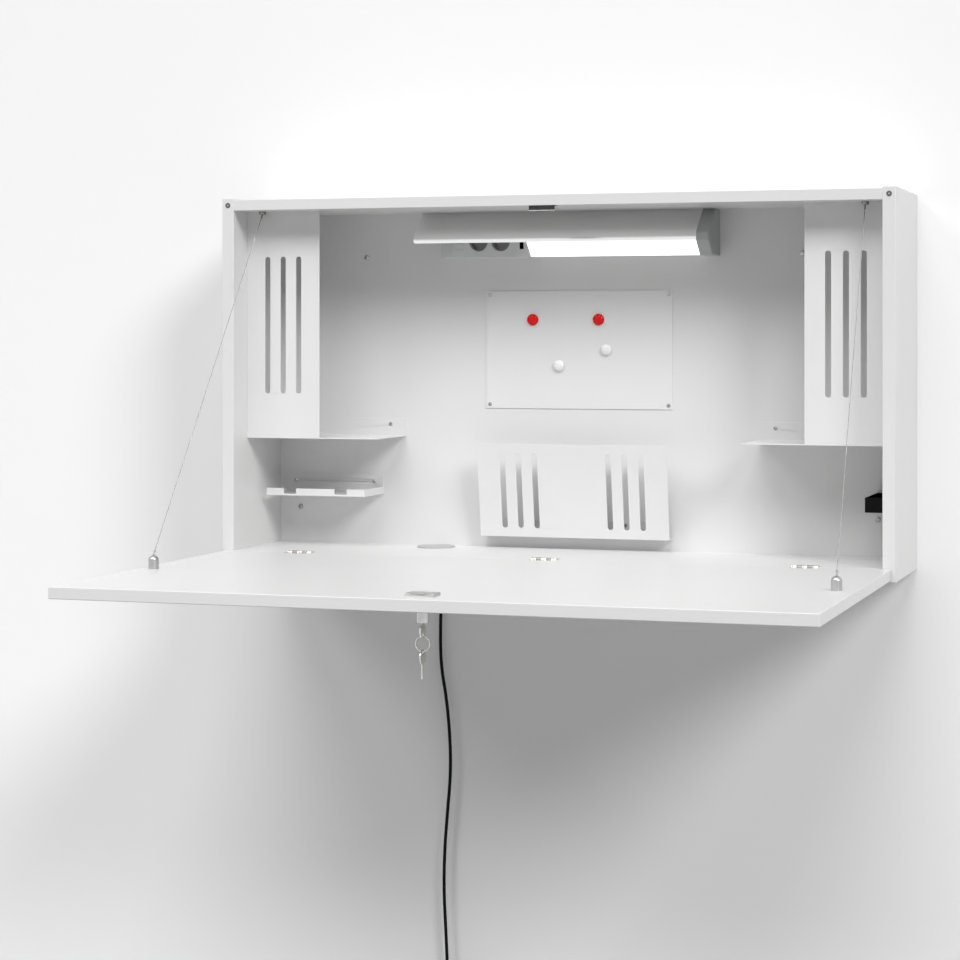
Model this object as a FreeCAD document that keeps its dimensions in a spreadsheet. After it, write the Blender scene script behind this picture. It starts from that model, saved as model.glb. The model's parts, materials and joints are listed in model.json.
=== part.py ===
"""Fold down wall desk: a shallow wall cabinet whose front flap drops to make a writing top.

Millimetres, +Z up, the room is towards -Y.  The origin lies on the wall plane, half way along the
cabinet, on the line of the upper pair of wall bolts.
"""
import FreeCAD, Part
import Sketcher
import math
import os
import re

VECTOR = FreeCAD.Vector
X_AXIS = VECTOR(1, 0, 0)
Y_AXIS = VECTOR(0, 1, 0)
Z_AXIS = VECTOR(0, 0, 1)

SIZES = {
    # cabinet
    "cabinet_width": 1200, "cabinet_height": 646, "cabinet_depth": 240,
    "side_thick": 22, "panel_thick": 19, "panel_inset": 2.5, "back_thick": 16,
    "rail_depth": 19, "rail_height": 50, "edge_radius": 1,
    "dowel_radius": 4, "dowel_length": 32, "dowel_bite": 12, "dowel_margin": 40, "dowel_gap": 0.1,
    # wall bolts
    "bolt_drop": 100, "bolt_inset": 172, "bolt_radius": 3.25,
    "lower_bolt_height": 86, "lower_bolt_inset": 40.5,
    # flap
    "flap_thick": 19, "flap_inset": 8, "joint_gap": 2, "flap_radius": 1.5,
    "buffer_radius": 4.5, "buffer_drop": 12, "buffer_depth": 8, "buffer_proud": 0.7,
    # flap hinges
    "hinge_inset": 150, "leaf_width": 45, "leaf_reach": 20, "leaf_thick": 2,
    "knuckle_radius": 3, "pin_radius": 1.5,
    "hinge_play": 0.3, "pin_play": 0.05, "recess_gap": 0.1,
    "leaf_screw_spread": 29, "leaf_screw_reach": 12.5, "leaf_screw_head": 3, "leaf_screw_shank": 1.2,
    "screw_depth": 14,
    # stays
    "post_inset": 37, "post_reach": 335, "post_radius": 8.5, "post_height": 22, "dome_radius": 7.5,
    "anchor_inset": 57.5, "anchor_reach": 45, "anchor_radius": 6, "anchor_height": 5,
    "wire_radius": 0.8,
    # lock
    "lock_left": 4.5, "lock_setback": 47, "case_width": 45, "case_length": 31, "case_bed": 12, "case_proud": 4.2,
    "cylinder_radius": 9, "cylinder_drop": 20, "plug_radius": 5, "plug_play": 0.15,
    "bolt_width": 14, "bolt_length": 24, "bolt_thick": 1.2, "bolt_lift": 2.1, "bolt_play": 0.3,
    "bow_radius": 11, "key_thick": 2, "blade_width": 7, "blade_length": 20, "key_shoulder": 1,
    "key_hole_radius": 3, "key_hole_offset": 6.5, "groove_width": 1.6, "groove_depth": 0.6,
    "ring_radius": 11, "ring_wire": 0.9, "ring_play": 0.3,
    "strike_width": 46, "strike_depth": 16, "strike_drop": 8.5, "strike_thick": 0.8,
    # pockets and brackets
    "sheet_thick": 1.5, "pocket_width": 140, "pocket_setback": 57.5, "pocket_bottom": 219,
    "pocket_flange": 20, "shelf_width": 249, "shelf_upstand": 33, "shelf_screw_inset": 29.5,
    "shelf_screw_rise": 22,
    "slot_width": 10, "slot_pitch": 30, "pocket_slot_rise": 80, "pocket_slot_drop": 80.5,
    "hook_start": 14, "hook_end": 205, "hook_height": 113, "hook_depth": 95, "hook_lip": 13,
    "hook_flange": 35, "hook_notch": 24, "hook_tab": 34, "hook_screw_inset": 18, "hook_screw_rise": 23,
    "pen_width": 42, "pen_depth": 126, "pen_height": 25, "pen_rise": 107, "pen_wall": 1.8,
    # document holder
    "holder_width": 350, "holder_rise": 43, "holder_height": 167, "holder_gap": 27.8,
    "holder_lean": 23.9, "holder_flange": 30, "holder_slot_margin": 16, "holder_group": 98,
    # magnet board
    "board_width": 347, "board_height": 211, "board_drop": 141.5, "board_screw_inset": 7,
    "magnet_radius": 10.5, "magnet_height": 7, "magnet_dome": 4,
    "head_radius": 3.5, "head_height": 1.6, "shank_radius": 2, "shank_length": 10,
    # cable grommet
    "grommet_radius": 34, "grommet_bore": 30, "grommet_flange": 2.4, "grommet_sleeve": 15,
    "grommet_wall": 2, "grommet_left": 256, "grommet_back": 75,
    "lid_radius": 31, "lid_thick": 1.4, "lid_play": 0.2,
    # lamp
    "lamp_top_reach": 31.6, "lamp_nose_reach": 84.3, "lamp_nose_drop": 57, "lamp_front_reach": 54.6,
    "lamp_drop": 81.8, "visor_thick": 2, "visor_lip": 14, "visor_bend": 26, "visor_corner": 4,
    "diffuser_thick": 4, "nose_step": 1,
    "lamp_right": 236.4, "diffuser_left": 71, "module_left": 220, "visor_left": 283,
    "cap_width": 23, "cap_radius": 5, "cap_edge": 3, "module_height": 47, "module_lean": 4.4,
    "socket_radius": 17.5, "socket_depth": 17, "socket_wall": 1.4, "socket_gap": 0.2, "socket_rise": 28,
    "socket_left": 169.7, "socket_pitch": 41.5, "pin_hole_radius": 2.6, "pin_hole_pitch": 19,
    "rocker_left": 206.4, "rocker_width": 16, "rocker_height": 11, "rocker_thick": 5,
    "rocker_rise": 20, "rocker_tilt": 6, "rocker_gap": 0.3, "rocker_swing_gap": 0.8,
    "usb_left": 88.7, "usb_width": 7.5, "usb_height": 12.5, "usb_depth": 9, "usb_rise": 20,
    # lamp lead
    "lead_radius": 3, "lead_left": 231, "lead_outlet": 28, "lead_back": 9.5,
    "gland_radius": 6.8, "gland_length": 30, "gland_neck": 5, "gland_tip": 4.6, "gland_taper": 16,
    "notch_width": 18, "notch_depth": 17, "outlet_left": 270,
    "clip_size": 15, "clip_height": 8, "clip_bore": 4, "upper_clip_left": 240.5, "lower_clip_left": 261.8,
    "upper_clip_drop": 155, "lower_clip_rise": 17,
    "coil_radius": 36, "coil_section": 7.3, "tie_bore": 7.9, "tie_radius": 9.1, "tie_height": 10,
    "relief_length": 25, "relief_radius": 4.6, "relief_flare": 9, "relief_groove": 0.8,
    "grip_radius": 15.8, "grip_length": 17, "shoulder_length": 5,
    "plug_body_radius": 18.5, "plug_length": 36, "plug_edge": 1,
    "plug_pin_radius": 2.4, "plug_pin_length": 19, "plug_pin_pitch": 19, "plug_pin_point": 1.9,
}

# Places in formula form, worked out from the sizes.
RIGHT = "(cabinet_width/2)"
INNER = "(cabinet_width/2 - side_thick)"
FRONT = "(-cabinet_depth)"
BACK = "(-rail_depth - back_thick)"
BASE = "(bolt_drop - cabinet_height)"
FLOOR = "(%s + panel_inset + panel_thick)" % BASE
CEILING = "(bolt_drop - panel_inset - panel_thick)"
TOP = "bolt_drop"
LOWER_BOLT = "(%s + lower_bolt_height)" % BASE
BOLT_X = "(%s - bolt_inset)" % INNER
LOWER_BOLT_X = "(%s - lower_bolt_inset)" % INNER
AXIS_Y = "(-cabinet_depth - joint_gap/2)"
FLAP_LENGTH = "(cabinet_height - panel_inset - panel_thick - joint_gap/2)"
FLAP_BACK = "(-cabinet_depth - joint_gap)"
FLAP_FRONT = "(%s - %s)" % (FLAP_BACK, FLAP_LENGTH)
LOCK_X = "(-lock_left)"
LOCK_Y = "(%s + lock_setback)" % FLAP_FRONT
CYLINDER_END = "(%s - flap_thick - cylinder_drop)" % FLOOR
KEY_BOW = "(%s - key_shoulder - bow_radius)" % CYLINDER_END
RING_TOP = "(%s - key_hole_offset - key_hole_radius + ring_wire + ring_play)" % KEY_BOW
RING_BOTTOM = "(%s - 2*ring_radius)" % RING_TOP
SPARE_BOW = "(%s + ring_wire + ring_play - key_hole_radius - key_hole_offset)" % RING_BOTTOM
LAMP_BASE = "(%s - lamp_drop)" % CEILING
NOSE_Y = "(%s - lamp_nose_reach)" % BACK
NOSE_Z = "(%s - lamp_nose_drop)" % CEILING
KNEE_Z = "(%s + visor_lip)" % NOSE_Z
VISOR_SLOPE = "((lamp_nose_reach - lamp_top_reach)/(lamp_nose_drop - visor_lip))"
LAMP_TOP_Y = "(%s - lamp_top_reach)" % BACK
LAMP_FRONT_Y = "(%s - lamp_front_reach)" % BACK
MODULE_TOP = "(%s + module_height)" % LAMP_BASE
POCKET_Y = "(-cabinet_depth + pocket_setback)"
SHELF_Z = "(%s + pocket_bottom)" % BASE
HOOK_Z = "(%s + hook_height)" % BASE
HOOK_FRONT = "(%s - hook_depth)" % BACK
PEN_Z = "(%s + pen_rise)" % BASE
HOLDER_Z = "(%s + holder_rise)" % BASE
HOLDER_FOOT = "(%s - holder_gap)" % BACK
HOLDER_TOP = "(%s - holder_lean)" % HOLDER_FOOT
BOARD_Z = "(%s - board_drop - board_height)" % CEILING
BOARD_Y = "(%s - sheet_thick)" % BACK

# Magnet places on the board: name, x, z.
MAGNETS = (
    ("red_magnet_left", -85.2, -114.6),
    ("red_magnet_right", 37.9, -114.6),
    ("white_magnet_upper", 51.9, -168.5),
    ("white_magnet_lower", -36.2, -197.3),
)

# Route of the lamp lead from the gland to the coil.
LEAD_ROUTE = (
    (-231.0, -9.5, 28.0), (-231.0, -9.5, -38.0), (-234.4, -9.2, -108.0), (-240.5, -9.8, -182.0),
    (-247.6, -9.3, -260.0), (-254.4, -9.9, -340.0), (-261.8, -9.4, -420.0), (-268.4, -9.6, -494.0),
    (-270.9, -9.3, -562.0), (-270.2, -9.9, -633.0), (-271.6, -10.6, -700.0), (-269.2, -11.4, -752.0),
    (-258.6, -12.4, -808.0), (-251.6, -13.1, -878.0), (-250.3, -13.4, -944.0), (-256.2, -13.2, -1010.0),
    (-262.3, -13.4, -1084.0), (-263.6, -13.7, -1160.0), (-259.4, -13.9, -1234.0),
    (-256.6, -14.0, -1296.0), (-256.5, -14.2, -1345.0),
)
COIL_CENTRE = (-220.5, -14.2, -1345.0)
# Route of the lead's tail from the coil to the plug.
TAIL_ROUTE = ((-256.5, -14.2, -1345.0), (-256.7, -20.0, -1383.0), (-256.7, -20.0, -1418.0))

TOUCH = 0.01

doc = FreeCAD.newDocument("fold_down_wall_desk")
sheet = doc.addObject("Spreadsheet::Sheet", "Sizes")
nodes = []


def fill_sheet():
    """Write every driving size to the sheet as a plain number with its alias."""
    for row, (alias, value) in enumerate(SIZES.items(), start=1):
        sheet.set("A%d" % row, alias)
        sheet.set("B%d" % row, str(value))
        sheet.setAlias("B%d" % row, alias)
    doc.recompute()


def formula(text):
    """Point every size name in a formula at the sheet."""
    def point(match):
        word = match.group(0)
        return "Sizes." + word if word in SIZES else word
    return re.sub(r"[a-z_]+", point, str(text))


def bind(item, **formulas):
    for name, text in formulas.items():
        item.setExpression(name, formula(text))
    return item


def place(item, x=0, y=0, z=0):
    for letter, text in zip("xyz", (x, y, z)):
        item.setExpression("Placement.Base." + letter, formula(text))
    return item


def size(alias):
    return float(sheet.get(alias))


def node(item, name):
    """Name a finished sub-part: the label is its node and its file."""
    item.Label = name
    nodes.append(item)
    return item


def box(low, high):
    """A block between two corners, each given as three formulas."""
    item = doc.addObject("Part::Box", "block")
    spans = ["(%s) - (%s)" % (b, a) for a, b in zip(low, high)]
    bind(item, Length=spans[0], Width=spans[1], Height=spans[2])
    return place(item, *low)


def rod(centre, radius, length, axis="z"):
    """A cylinder that starts at centre and runs along +axis."""
    item = doc.addObject("Part::Cylinder", "rod")
    turn = {"x": FreeCAD.Rotation(Y_AXIS, 90), "y": FreeCAD.Rotation(X_AXIS, -90),
            "z": FreeCAD.Rotation()}[axis]
    item.Placement = FreeCAD.Placement(VECTOR(), turn)
    bind(item, Radius=radius, Height=length)
    return place(item, *centre)


def taper(centre, low_radius, high_radius, length):
    item = doc.addObject("Part::Cone", "taper")
    bind(item, Radius1=low_radius, Radius2=high_radius, Height=length)
    return place(item, *centre)


def hoop(centre, ring, section):
    """A torus whose axis runs along Y."""
    item = doc.addObject("Part::Torus", "hoop")
    item.Placement = FreeCAD.Placement(VECTOR(), FreeCAD.Rotation(X_AXIS, 90))
    bind(item, Radius1=ring, Radius2=section)
    return place(item, *centre)


def fuse(*items):
    if len(items) == 1:
        return items[0]
    whole = doc.addObject("Part::MultiFuse", "joined")
    whole.Shapes = list(items)
    whole.Refine = True
    return whole


def cut(base, *tools):
    rest = doc.addObject("Part::Cut", "trimmed")
    rest.Base = base
    rest.Tool = fuse(*tools)
    return rest


def group(items):
    """Identical pieces that share one node as separate solids."""
    together = doc.addObject("Part::Compound", "set")
    together.Links = list(items)
    return together


def solid(shape):
    """A piece whose shape is set directly, for a wire or a swept route."""
    item = doc.addObject("Part::Feature", "route")
    item.Shape = shape
    item.Placement = FreeCAD.Placement()
    return item


def board(low, high, radius, rounded):
    """A panel with some long edges rounded; rounded(edge box, board box) picks them."""
    body = doc.addObject("PartDesign::Body", "panel")
    slab = body.newObject("PartDesign::AdditiveBox", "slab")
    spans = ["(%s) - (%s)" % (b, a) for a, b in zip(low, high)]
    bind(slab, Length=spans[0], Width=spans[1], Height=spans[2])
    doc.recompute()
    whole = slab.Shape.BoundBox
    names = ["Edge%d" % (number + 1) for number, edge in enumerate(slab.Shape.Edges)
             if rounded(edge.BoundBox, whole)]
    rounding = body.newObject("PartDesign::Fillet", "rounding")
    rounding.Base = (slab, names)
    bind(rounding, Radius=radius)
    body.Tip = rounding
    return place(body, *low)


def at_front(edge, whole):
    return edge.YMax - whole.YMin < TOUCH


def not_at_back(edge, whole):
    return whole.YMax - edge.YMin > TOUCH


def outline(body, role, points):
    """A closed sketch on one of the body's planes, its corners given as pairs of formulas."""
    sketch = body.newObject("Sketcher::SketchObject", "outline")
    plane = [part for part in body.Origin.OriginFeatures if part.Role == role][0]
    sketch.AttachmentSupport = (plane, [""])
    sketch.MapMode = "FlatFace"
    count = len(points)
    start = [VECTOR(math.cos(2 * math.pi * i / count), math.sin(2 * math.pi * i / count), 0)
             for i in range(count)]
    for i in range(count):
        sketch.addGeometry(Part.LineSegment(start[i], start[(i + 1) % count]), False)
    for i in range(count):
        sketch.addConstraint(Sketcher.Constraint("Coincident", i, 2, (i + 1) % count, 1))
    for i, pair in enumerate(points):
        for kind, value, text in zip(("DistanceX", "DistanceY"), start[i], pair):
            number = sketch.addConstraint(Sketcher.Constraint(kind, -1, 1, i, 1, value))
            sketch.setExpression("Constraints[%d]" % number, formula(text))
    return sketch


def turned(points, centre):
    """A turned piece: an outline of (radius, height) formulas, spun about the upright line at centre."""
    body = doc.addObject("PartDesign::Body", "turned")
    sketch = outline(body, "XZ_Plane", points)
    spin = body.newObject("PartDesign::Revolution", "spin")
    spin.Profile = sketch
    spin.ReferenceAxis = (sketch, ["V_Axis"])
    spin.Angle = 360
    return place(body, *centre)


def profile(points, low, high, radius=None, rounded=()):
    """Pad an outline, given as (y, z) formulas, from x = low to x = high.

    The corners whose numbers are in rounded get the radius.
    """
    body = doc.addObject("PartDesign::Body", "section")
    sketch = outline(body, "YZ_Plane", points)
    pad = body.newObject("PartDesign::Pad", "run")
    pad.Profile = sketch
    bind(pad, Length="(%s) - (%s)" % (high, low))
    place(body, low)
    if radius:
        doc.recompute()
        corners = [sketch.getPoint(i, 1) for i in rounded]
        names = []
        for number, edge in enumerate(pad.Shape.Edges):
            reach = edge.BoundBox
            if reach.XLength > TOUCH and any(abs(reach.YMin - c.x) + abs(reach.ZMin - c.y) < TOUCH
                                             for c in corners):
                names.append("Edge%d" % (number + 1))
        rounding = body.newObject("PartDesign::Fillet", "bend")
        rounding.Base = (pad, names)
        bind(rounding, Radius=radius)
        body.Tip = rounding
    return body


def soften(body, radius, chosen):
    """Round more edges of a body; chosen(edge box, body box) picks them."""
    doc.recompute()
    tip = body.Tip
    whole = tip.Shape.BoundBox
    names = ["Edge%d" % (number + 1) for number, edge in enumerate(tip.Shape.Edges)
             if chosen(edge.BoundBox, whole)]
    rounding = body.newObject("PartDesign::Fillet", "softened")
    rounding.Base = (tip, names)
    bind(rounding, Radius=radius)
    body.Tip = rounding
    return body


def slot(x, low, high, y_low, y_high):
    """A round-ended upright slot cutter."""
    centre = "(%s)" % x
    half = "slot_width/2"
    depth = "(%s) - (%s)" % (y_high, y_low)
    middle = box(("%s - %s" % (centre, half), y_low, "(%s) + %s" % (low, half)),
                 ("%s + %s" % (centre, half), y_high, "(%s) - %s" % (high, half)))
    ends = [rod((centre, y_low, z), half, depth, "y")
            for z in ("(%s) + %s" % (low, half), "(%s) - %s" % (high, half))]
    return fuse(middle, *ends)


def screw(x, y, z):
    """A pan-head screw whose shank points into the back panel or bracket along +Y."""
    head = rod((x, "(%s) - head_height" % y, z), "head_radius", "head_height", "y")
    shank = rod((x, y, z), "shank_radius", "shank_length", "y")
    return fuse(head, shank)


def screw_hole(x, y, z):
    return rod((x, y, z), "shank_radius + recess_gap", "shank_length + 1", "y")


# ---- cabinet ------------------------------------------------------------------------------------

def dowel_places():
    """(sign, y, z) of every dowel in the corner joints."""
    rows = ("(%s + dowel_margin)" % FRONT, "(-cabinet_depth/2)", "(-dowel_margin)")
    levels = ("(%s + panel_inset + panel_thick/2)" % BASE, "(%s + panel_thick/2)" % CEILING)
    return [(sign, y, z) for sign in (-1, 1) for y in rows for z in levels]


def dowel(sign, y, z, gap="0"):
    """One dowel across the joint between a side and a panel, or its hole."""
    start = "-%s - dowel_bite - %s" % (INNER, gap)
    if sign > 0:
        start = "%s + dowel_bite - dowel_length - %s" % (INNER, gap)
    return rod((start, y, z), "dowel_radius + %s" % gap, "dowel_length + 2*%s" % gap, "x")


def dowel_holes(keep):
    return [dowel(sign, y, z, "dowel_gap") for sign, y, z in dowel_places() if keep(sign, z)]


def side_panel(sign):
    low = (RIGHT + " - side_thick" if sign > 0 else "-" + RIGHT, FRONT, BASE)
    high = (RIGHT if sign > 0 else "-" + RIGHT + " + side_thick", "0", TOP)
    panel = board(low, high, "edge_radius", at_front)
    bore = rod(("%d*(%s - side_thick/2)" % (sign, RIGHT), FRONT, "%s - buffer_drop" % TOP),
               "buffer_radius - 1", "buffer_depth", "y")
    return cut(panel, bore, *dowel_holes(lambda side, z: side == sign))


def hinge_recess(x):
    """Room for one flap hinge: both leaves and the knuckles."""
    half = "(leaf_width/2 + recess_gap)"
    bed = box(("%s - %s" % (x, half), "%s - leaf_reach - recess_gap" % AXIS_Y,
               "%s - leaf_thick - recess_gap" % FLOOR),
              ("%s + %s" % (x, half), "%s + leaf_reach + recess_gap" % AXIS_Y, "%s + 1" % FLOOR))
    relief = rod(("%s - %s" % (x, half), AXIS_Y, FLOOR), "knuckle_radius + hinge_play + recess_gap",
                 "leaf_width + 2*recess_gap", "x")
    return fuse(bed, relief)


def leaf_screw_places(x, way):
    y = "%s %s leaf_screw_reach" % (AXIS_Y, way)
    return [("%s %s leaf_screw_spread/2" % (x, side), y) for side in "+-"]


def leaf_screw(x, y, gap="0"):
    """A countersunk screw, flush with its leaf."""
    head = taper((x, y, "%s - leaf_thick" % FLOOR), "leaf_screw_shank + %s" % gap,
                 "leaf_screw_head + %s" % gap, "leaf_thick")
    shank = rod((x, y, "%s - screw_depth - %s" % (FLOOR, gap)), "leaf_screw_shank + %s" % gap,
                "screw_depth - leaf_thick + %s" % gap)
    return fuse(head, shank)


def leaf_screw_holes(way):
    return [leaf_screw(x, y, "recess_gap") for hinge in HINGES for x, y in leaf_screw_places(hinge, way)]


HINGES = ("(hinge_inset - %s)" % RIGHT, "0", "(%s - hinge_inset)" % RIGHT)


def top_panel():
    low = ("-" + INNER, FRONT, CEILING)
    high = (INNER, "0", CEILING + " + panel_thick")
    panel = board(low, high, "edge_radius", at_front)
    return cut(panel, *dowel_holes(lambda side, z: z.startswith("(" + CEILING)))


def bottom_panel():
    low = ("-" + INNER, FRONT, FLOOR + " - panel_thick")
    panel = board(low, (INNER, "0", FLOOR), "edge_radius", at_front)
    grommet_bore = rod(("-grommet_left", "-grommet_back", FLOOR + " - panel_thick"),
                       "grommet_bore + recess_gap", "panel_thick")
    holes = dowel_holes(lambda side, z: not z.startswith("(" + CEILING))
    recesses = [hinge_recess(x) for x in HINGES]
    return cut(panel, grommet_bore, lead_notch("outlet_left", FLOOR + " - panel_thick", FLOOR),
               *recesses, *leaf_screw_holes("+"), *holes)


def lead_notch(left, low, high):
    return box(("-%s - notch_width/2" % left, "-notch_depth", low),
               ("-%s + notch_width/2" % left, "0", high))


def bolt_bores(y):
    """Bores for the four wall bolts, from y to the wall."""
    upper = [rod(("%d*%s" % (sign, BOLT_X), y, 0), "bolt_radius", "-(%s)" % y, "y") for sign in (-1, 1)]
    lower = [rod(("%d*%s" % (sign, LOWER_BOLT_X), y, LOWER_BOLT), "bolt_radius", "-(%s)" % y, "y")
             for sign in (-1, 1)]
    return upper, lower


def back_panel():
    low = ("-" + INNER, BACK, FLOOR)
    high = (INNER, "-rail_depth", CEILING)
    upper, lower = bolt_bores(BACK)
    gland_hole = rod(("-lead_left", BACK, "lead_outlet + gland_length/2"), "gland_neck + recess_gap",
                     "back_thick", "y")
    screws = [screw_hole(x, BACK, z) for x, z in wall_screw_places() + board_screw_places()]
    return cut(box(low, high), gland_hole, *upper, *lower, *screws)


def hanging_rail(level, bores, left):
    rail = box(("-" + INNER, "-rail_depth", "%s - rail_height/2" % level),
               (INNER, "0", "%s + rail_height/2" % level))
    notch = lead_notch(left, "%s - rail_height/2" % level, "%s + rail_height/2" % level)
    return cut(rail, notch, *bores)


def edge_buffers():
    """Rubber buffers pressed into the front edges of the sides, where the closed flap lands."""
    return [fuse(rod(("%d*(%s - side_thick/2)" % (sign, RIGHT), FRONT, "%s - buffer_drop" % TOP),
                     "buffer_radius - 1", "buffer_depth", "y"),
                 rod(("%d*(%s - side_thick/2)" % (sign, RIGHT), "%s - buffer_proud" % FRONT,
                      "%s - buffer_drop" % TOP), "buffer_radius", "buffer_proud", "y"))
            for sign in (-1, 1)]


def strike_plate():
    left = LOCK_X + " - strike_width/2"
    right = LOCK_X + " + strike_width/2"
    leg = box((left, FRONT, CEILING + " - strike_thick"), (right, FRONT + " + strike_depth", CEILING))
    lip = box((left, FRONT, CEILING + " - strike_drop"), (right, FRONT + " + strike_thick", CEILING))
    return fuse(leg, lip)


def build_cabinet():
    node(side_panel(-1), "side_panel_left")
    node(side_panel(1), "side_panel_right")
    node(top_panel(), "top_panel")
    node(bottom_panel(), "bottom_panel")
    node(back_panel(), "back_panel")
    upper, lower = bolt_bores("-rail_depth")
    node(hanging_rail("0", upper, "(lead_left + 1)"), "upper_hanging_rail")
    node(hanging_rail(LOWER_BOLT, lower, "(outlet_left - 6)"), "lower_hanging_rail")
    node(group([dowel(*spot) for spot in dowel_places()]), "panel_dowels")
    node(group(edge_buffers()), "edge_buffers")
    node(strike_plate(), "strike_plate")


# ---- inside fittings ----------------------------------------------------------------------------

def mirror(item):
    other = doc.addObject("Part::Mirroring", "mirrored")
    other.Source = item
    other.Normal = X_AXIS
    return other


def pocket():
    """The left pocket: a slotted front sheet, folded under into a shelf with an upstand."""
    wall = "-" + INNER
    front = box((wall, POCKET_Y, SHELF_Z), (wall + " + pocket_width", POCKET_Y + " + sheet_thick", CEILING))
    flange = box((wall, POCKET_Y, SHELF_Z),
                 (wall + " + sheet_thick", POCKET_Y + " + pocket_flange", CEILING))
    shelf = box((wall, POCKET_Y, SHELF_Z), (wall + " + shelf_width", BACK, SHELF_Z + " + sheet_thick"))
    upstand = box((wall, BACK + " - sheet_thick", SHELF_Z),
                  (wall + " + shelf_width", BACK, SHELF_Z + " + shelf_upstand"))
    slots = [slot("%s + pocket_width/2 + %d*slot_pitch" % (wall, number),
                  SHELF_Z + " + pocket_slot_rise", CEILING + " - pocket_slot_drop",
                  POCKET_Y + " - 1", POCKET_Y + " + sheet_thick + 1") for number in (-1, 0, 1)]
    hole = screw_hole("-%s" % shelf_screw_x(), BACK + " - sheet_thick", shelf_screw_z())
    return cut(fuse(front, flange, shelf, upstand), hole, *slots)


def shelf_screw_x():
    return "(%s - shelf_width + shelf_screw_inset)" % INNER


def shelf_screw_z():
    return "(%s + shelf_screw_rise)" % SHELF_Z


def hook_screws():
    return [("hook_start + hook_screw_inset - " + INNER, HOOK_Z + " + hook_screw_rise"),
            ("hook_end - hook_screw_inset - " + INNER, HOOK_Z + " + hook_screw_rise")]


def hook_tray():
    """A shallow tray for cables and hooks, with a front lip in three tabs and one on the right."""
    left = "(hook_start - %s)" % INNER
    right = "(hook_end - %s)" % INNER
    base = box((left, HOOK_FRONT, HOOK_Z), (right, BACK, HOOK_Z + " + sheet_thick"))
    flange = box((left, BACK + " - sheet_thick", HOOK_Z), (right, BACK, HOOK_Z + " + hook_flange"))
    lip = box((left, HOOK_FRONT, HOOK_Z), (right, HOOK_FRONT + " + sheet_thick", HOOK_Z + " + hook_lip"))
    end = box((right + " - sheet_thick", HOOK_FRONT, HOOK_Z), (right, BACK, HOOK_Z + " + hook_lip"))
    notches = []
    for start in (left + " + hook_tab", right + " - hook_tab - hook_notch"):
        notches.append(box((start, HOOK_FRONT + " - 1", HOOK_Z + " + 2*sheet_thick"),
                           (start + " + hook_notch", HOOK_FRONT + " + 2*sheet_thick",
                            HOOK_Z + " + hook_lip + 1")))
    holes = [screw_hole(x, BACK + " - sheet_thick", z) for x, z in hook_screws()]
    return cut(fuse(base, flange, lip, end), *notches, *holes)


def pen_tray():
    low = (INNER + " - pen_width", BACK + " - pen_depth", PEN_Z)
    high = (INNER, BACK, PEN_Z + " + pen_height")
    room = box(tuple(a + " + pen_wall" for a in low),
               (INNER + " - pen_wall", BACK + " - pen_wall", high[2] + " + 1"))
    return cut(box(low, high), room)


def holder_slots():
    low = HOLDER_Z + " + holder_slot_margin"
    high = HOLDER_Z + " + holder_height - holder_slot_margin"
    return [slot("%d*holder_group + %d*slot_pitch" % (side, number), low, high,
                 HOLDER_TOP + " - 1", HOLDER_FOOT + " + 2*sheet_thick")
            for side in (-1, 1) for number in (-1, 0, 1)]


def holder_screws():
    return [("%d*holder_width/4" % side, HOLDER_Z + " + holder_flange - 2*head_radius") for side in (-1, 1)]


def document_holder():
    """A leaning slotted plate, folded back under to a flange on the back panel."""
    points = (
        (HOLDER_FOOT, HOLDER_Z),
        (HOLDER_TOP, HOLDER_Z + " + holder_height"),
        (HOLDER_TOP + " + sheet_thick", HOLDER_Z + " + holder_height"),
        (HOLDER_FOOT + " + sheet_thick", HOLDER_Z + " + sheet_thick"),
        (BACK + " - sheet_thick", HOLDER_Z + " + sheet_thick"),
        (BACK + " - sheet_thick", HOLDER_Z + " + holder_flange"),
        (BACK, HOLDER_Z + " + holder_flange"),
        (BACK, HOLDER_Z),
    )
    plate = profile(points, "-holder_width/2", "holder_width/2")
    holes = [screw_hole(x, BACK + " - sheet_thick", z) for x, z in holder_screws()]
    return cut(plate, *holder_slots(), *holes)


def board_screw_places():
    return [("%d*(board_width/2 - board_screw_inset)" % side, BOARD_Z + rise)
            for side in (-1, 1) for rise in (" + board_screw_inset", " + board_height - board_screw_inset")]


def wall_screw_places():
    """Screws that hold the pockets, the hook tray and the document holder to the back panel."""
    return [("-%s" % shelf_screw_x(), shelf_screw_z()), (shelf_screw_x(), shelf_screw_z())] \
        + hook_screws() + holder_screws()


def magnet_board():
    plate = box(("-board_width/2", BOARD_Y, BOARD_Z), ("board_width/2", BACK, BOARD_Z + " + board_height"))
    return cut(plate, *[screw_hole(x, BOARD_Y, z) for x, z in board_screw_places()])


def magnet(x, z):
    """A round magnet with a domed cap."""
    body = doc.addObject("PartDesign::Body", "magnet")
    disc = body.newObject("PartDesign::AdditiveCylinder", "disc")
    bind(disc, Radius="magnet_radius", Height="magnet_height")
    doc.recompute()
    rim = ["Edge%d" % (number + 1) for number, edge in enumerate(disc.Shape.Edges)
           if edge.BoundBox.ZMin > size("magnet_height") - TOUCH]
    dome = body.newObject("PartDesign::Fillet", "dome")
    dome.Base = (disc, rim)
    bind(dome, Radius="magnet_dome")
    body.Tip = dome
    body.Placement = FreeCAD.Placement(VECTOR(), FreeCAD.Rotation(X_AXIS, 90))
    return place(body, x, BOARD_Y, z)


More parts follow.
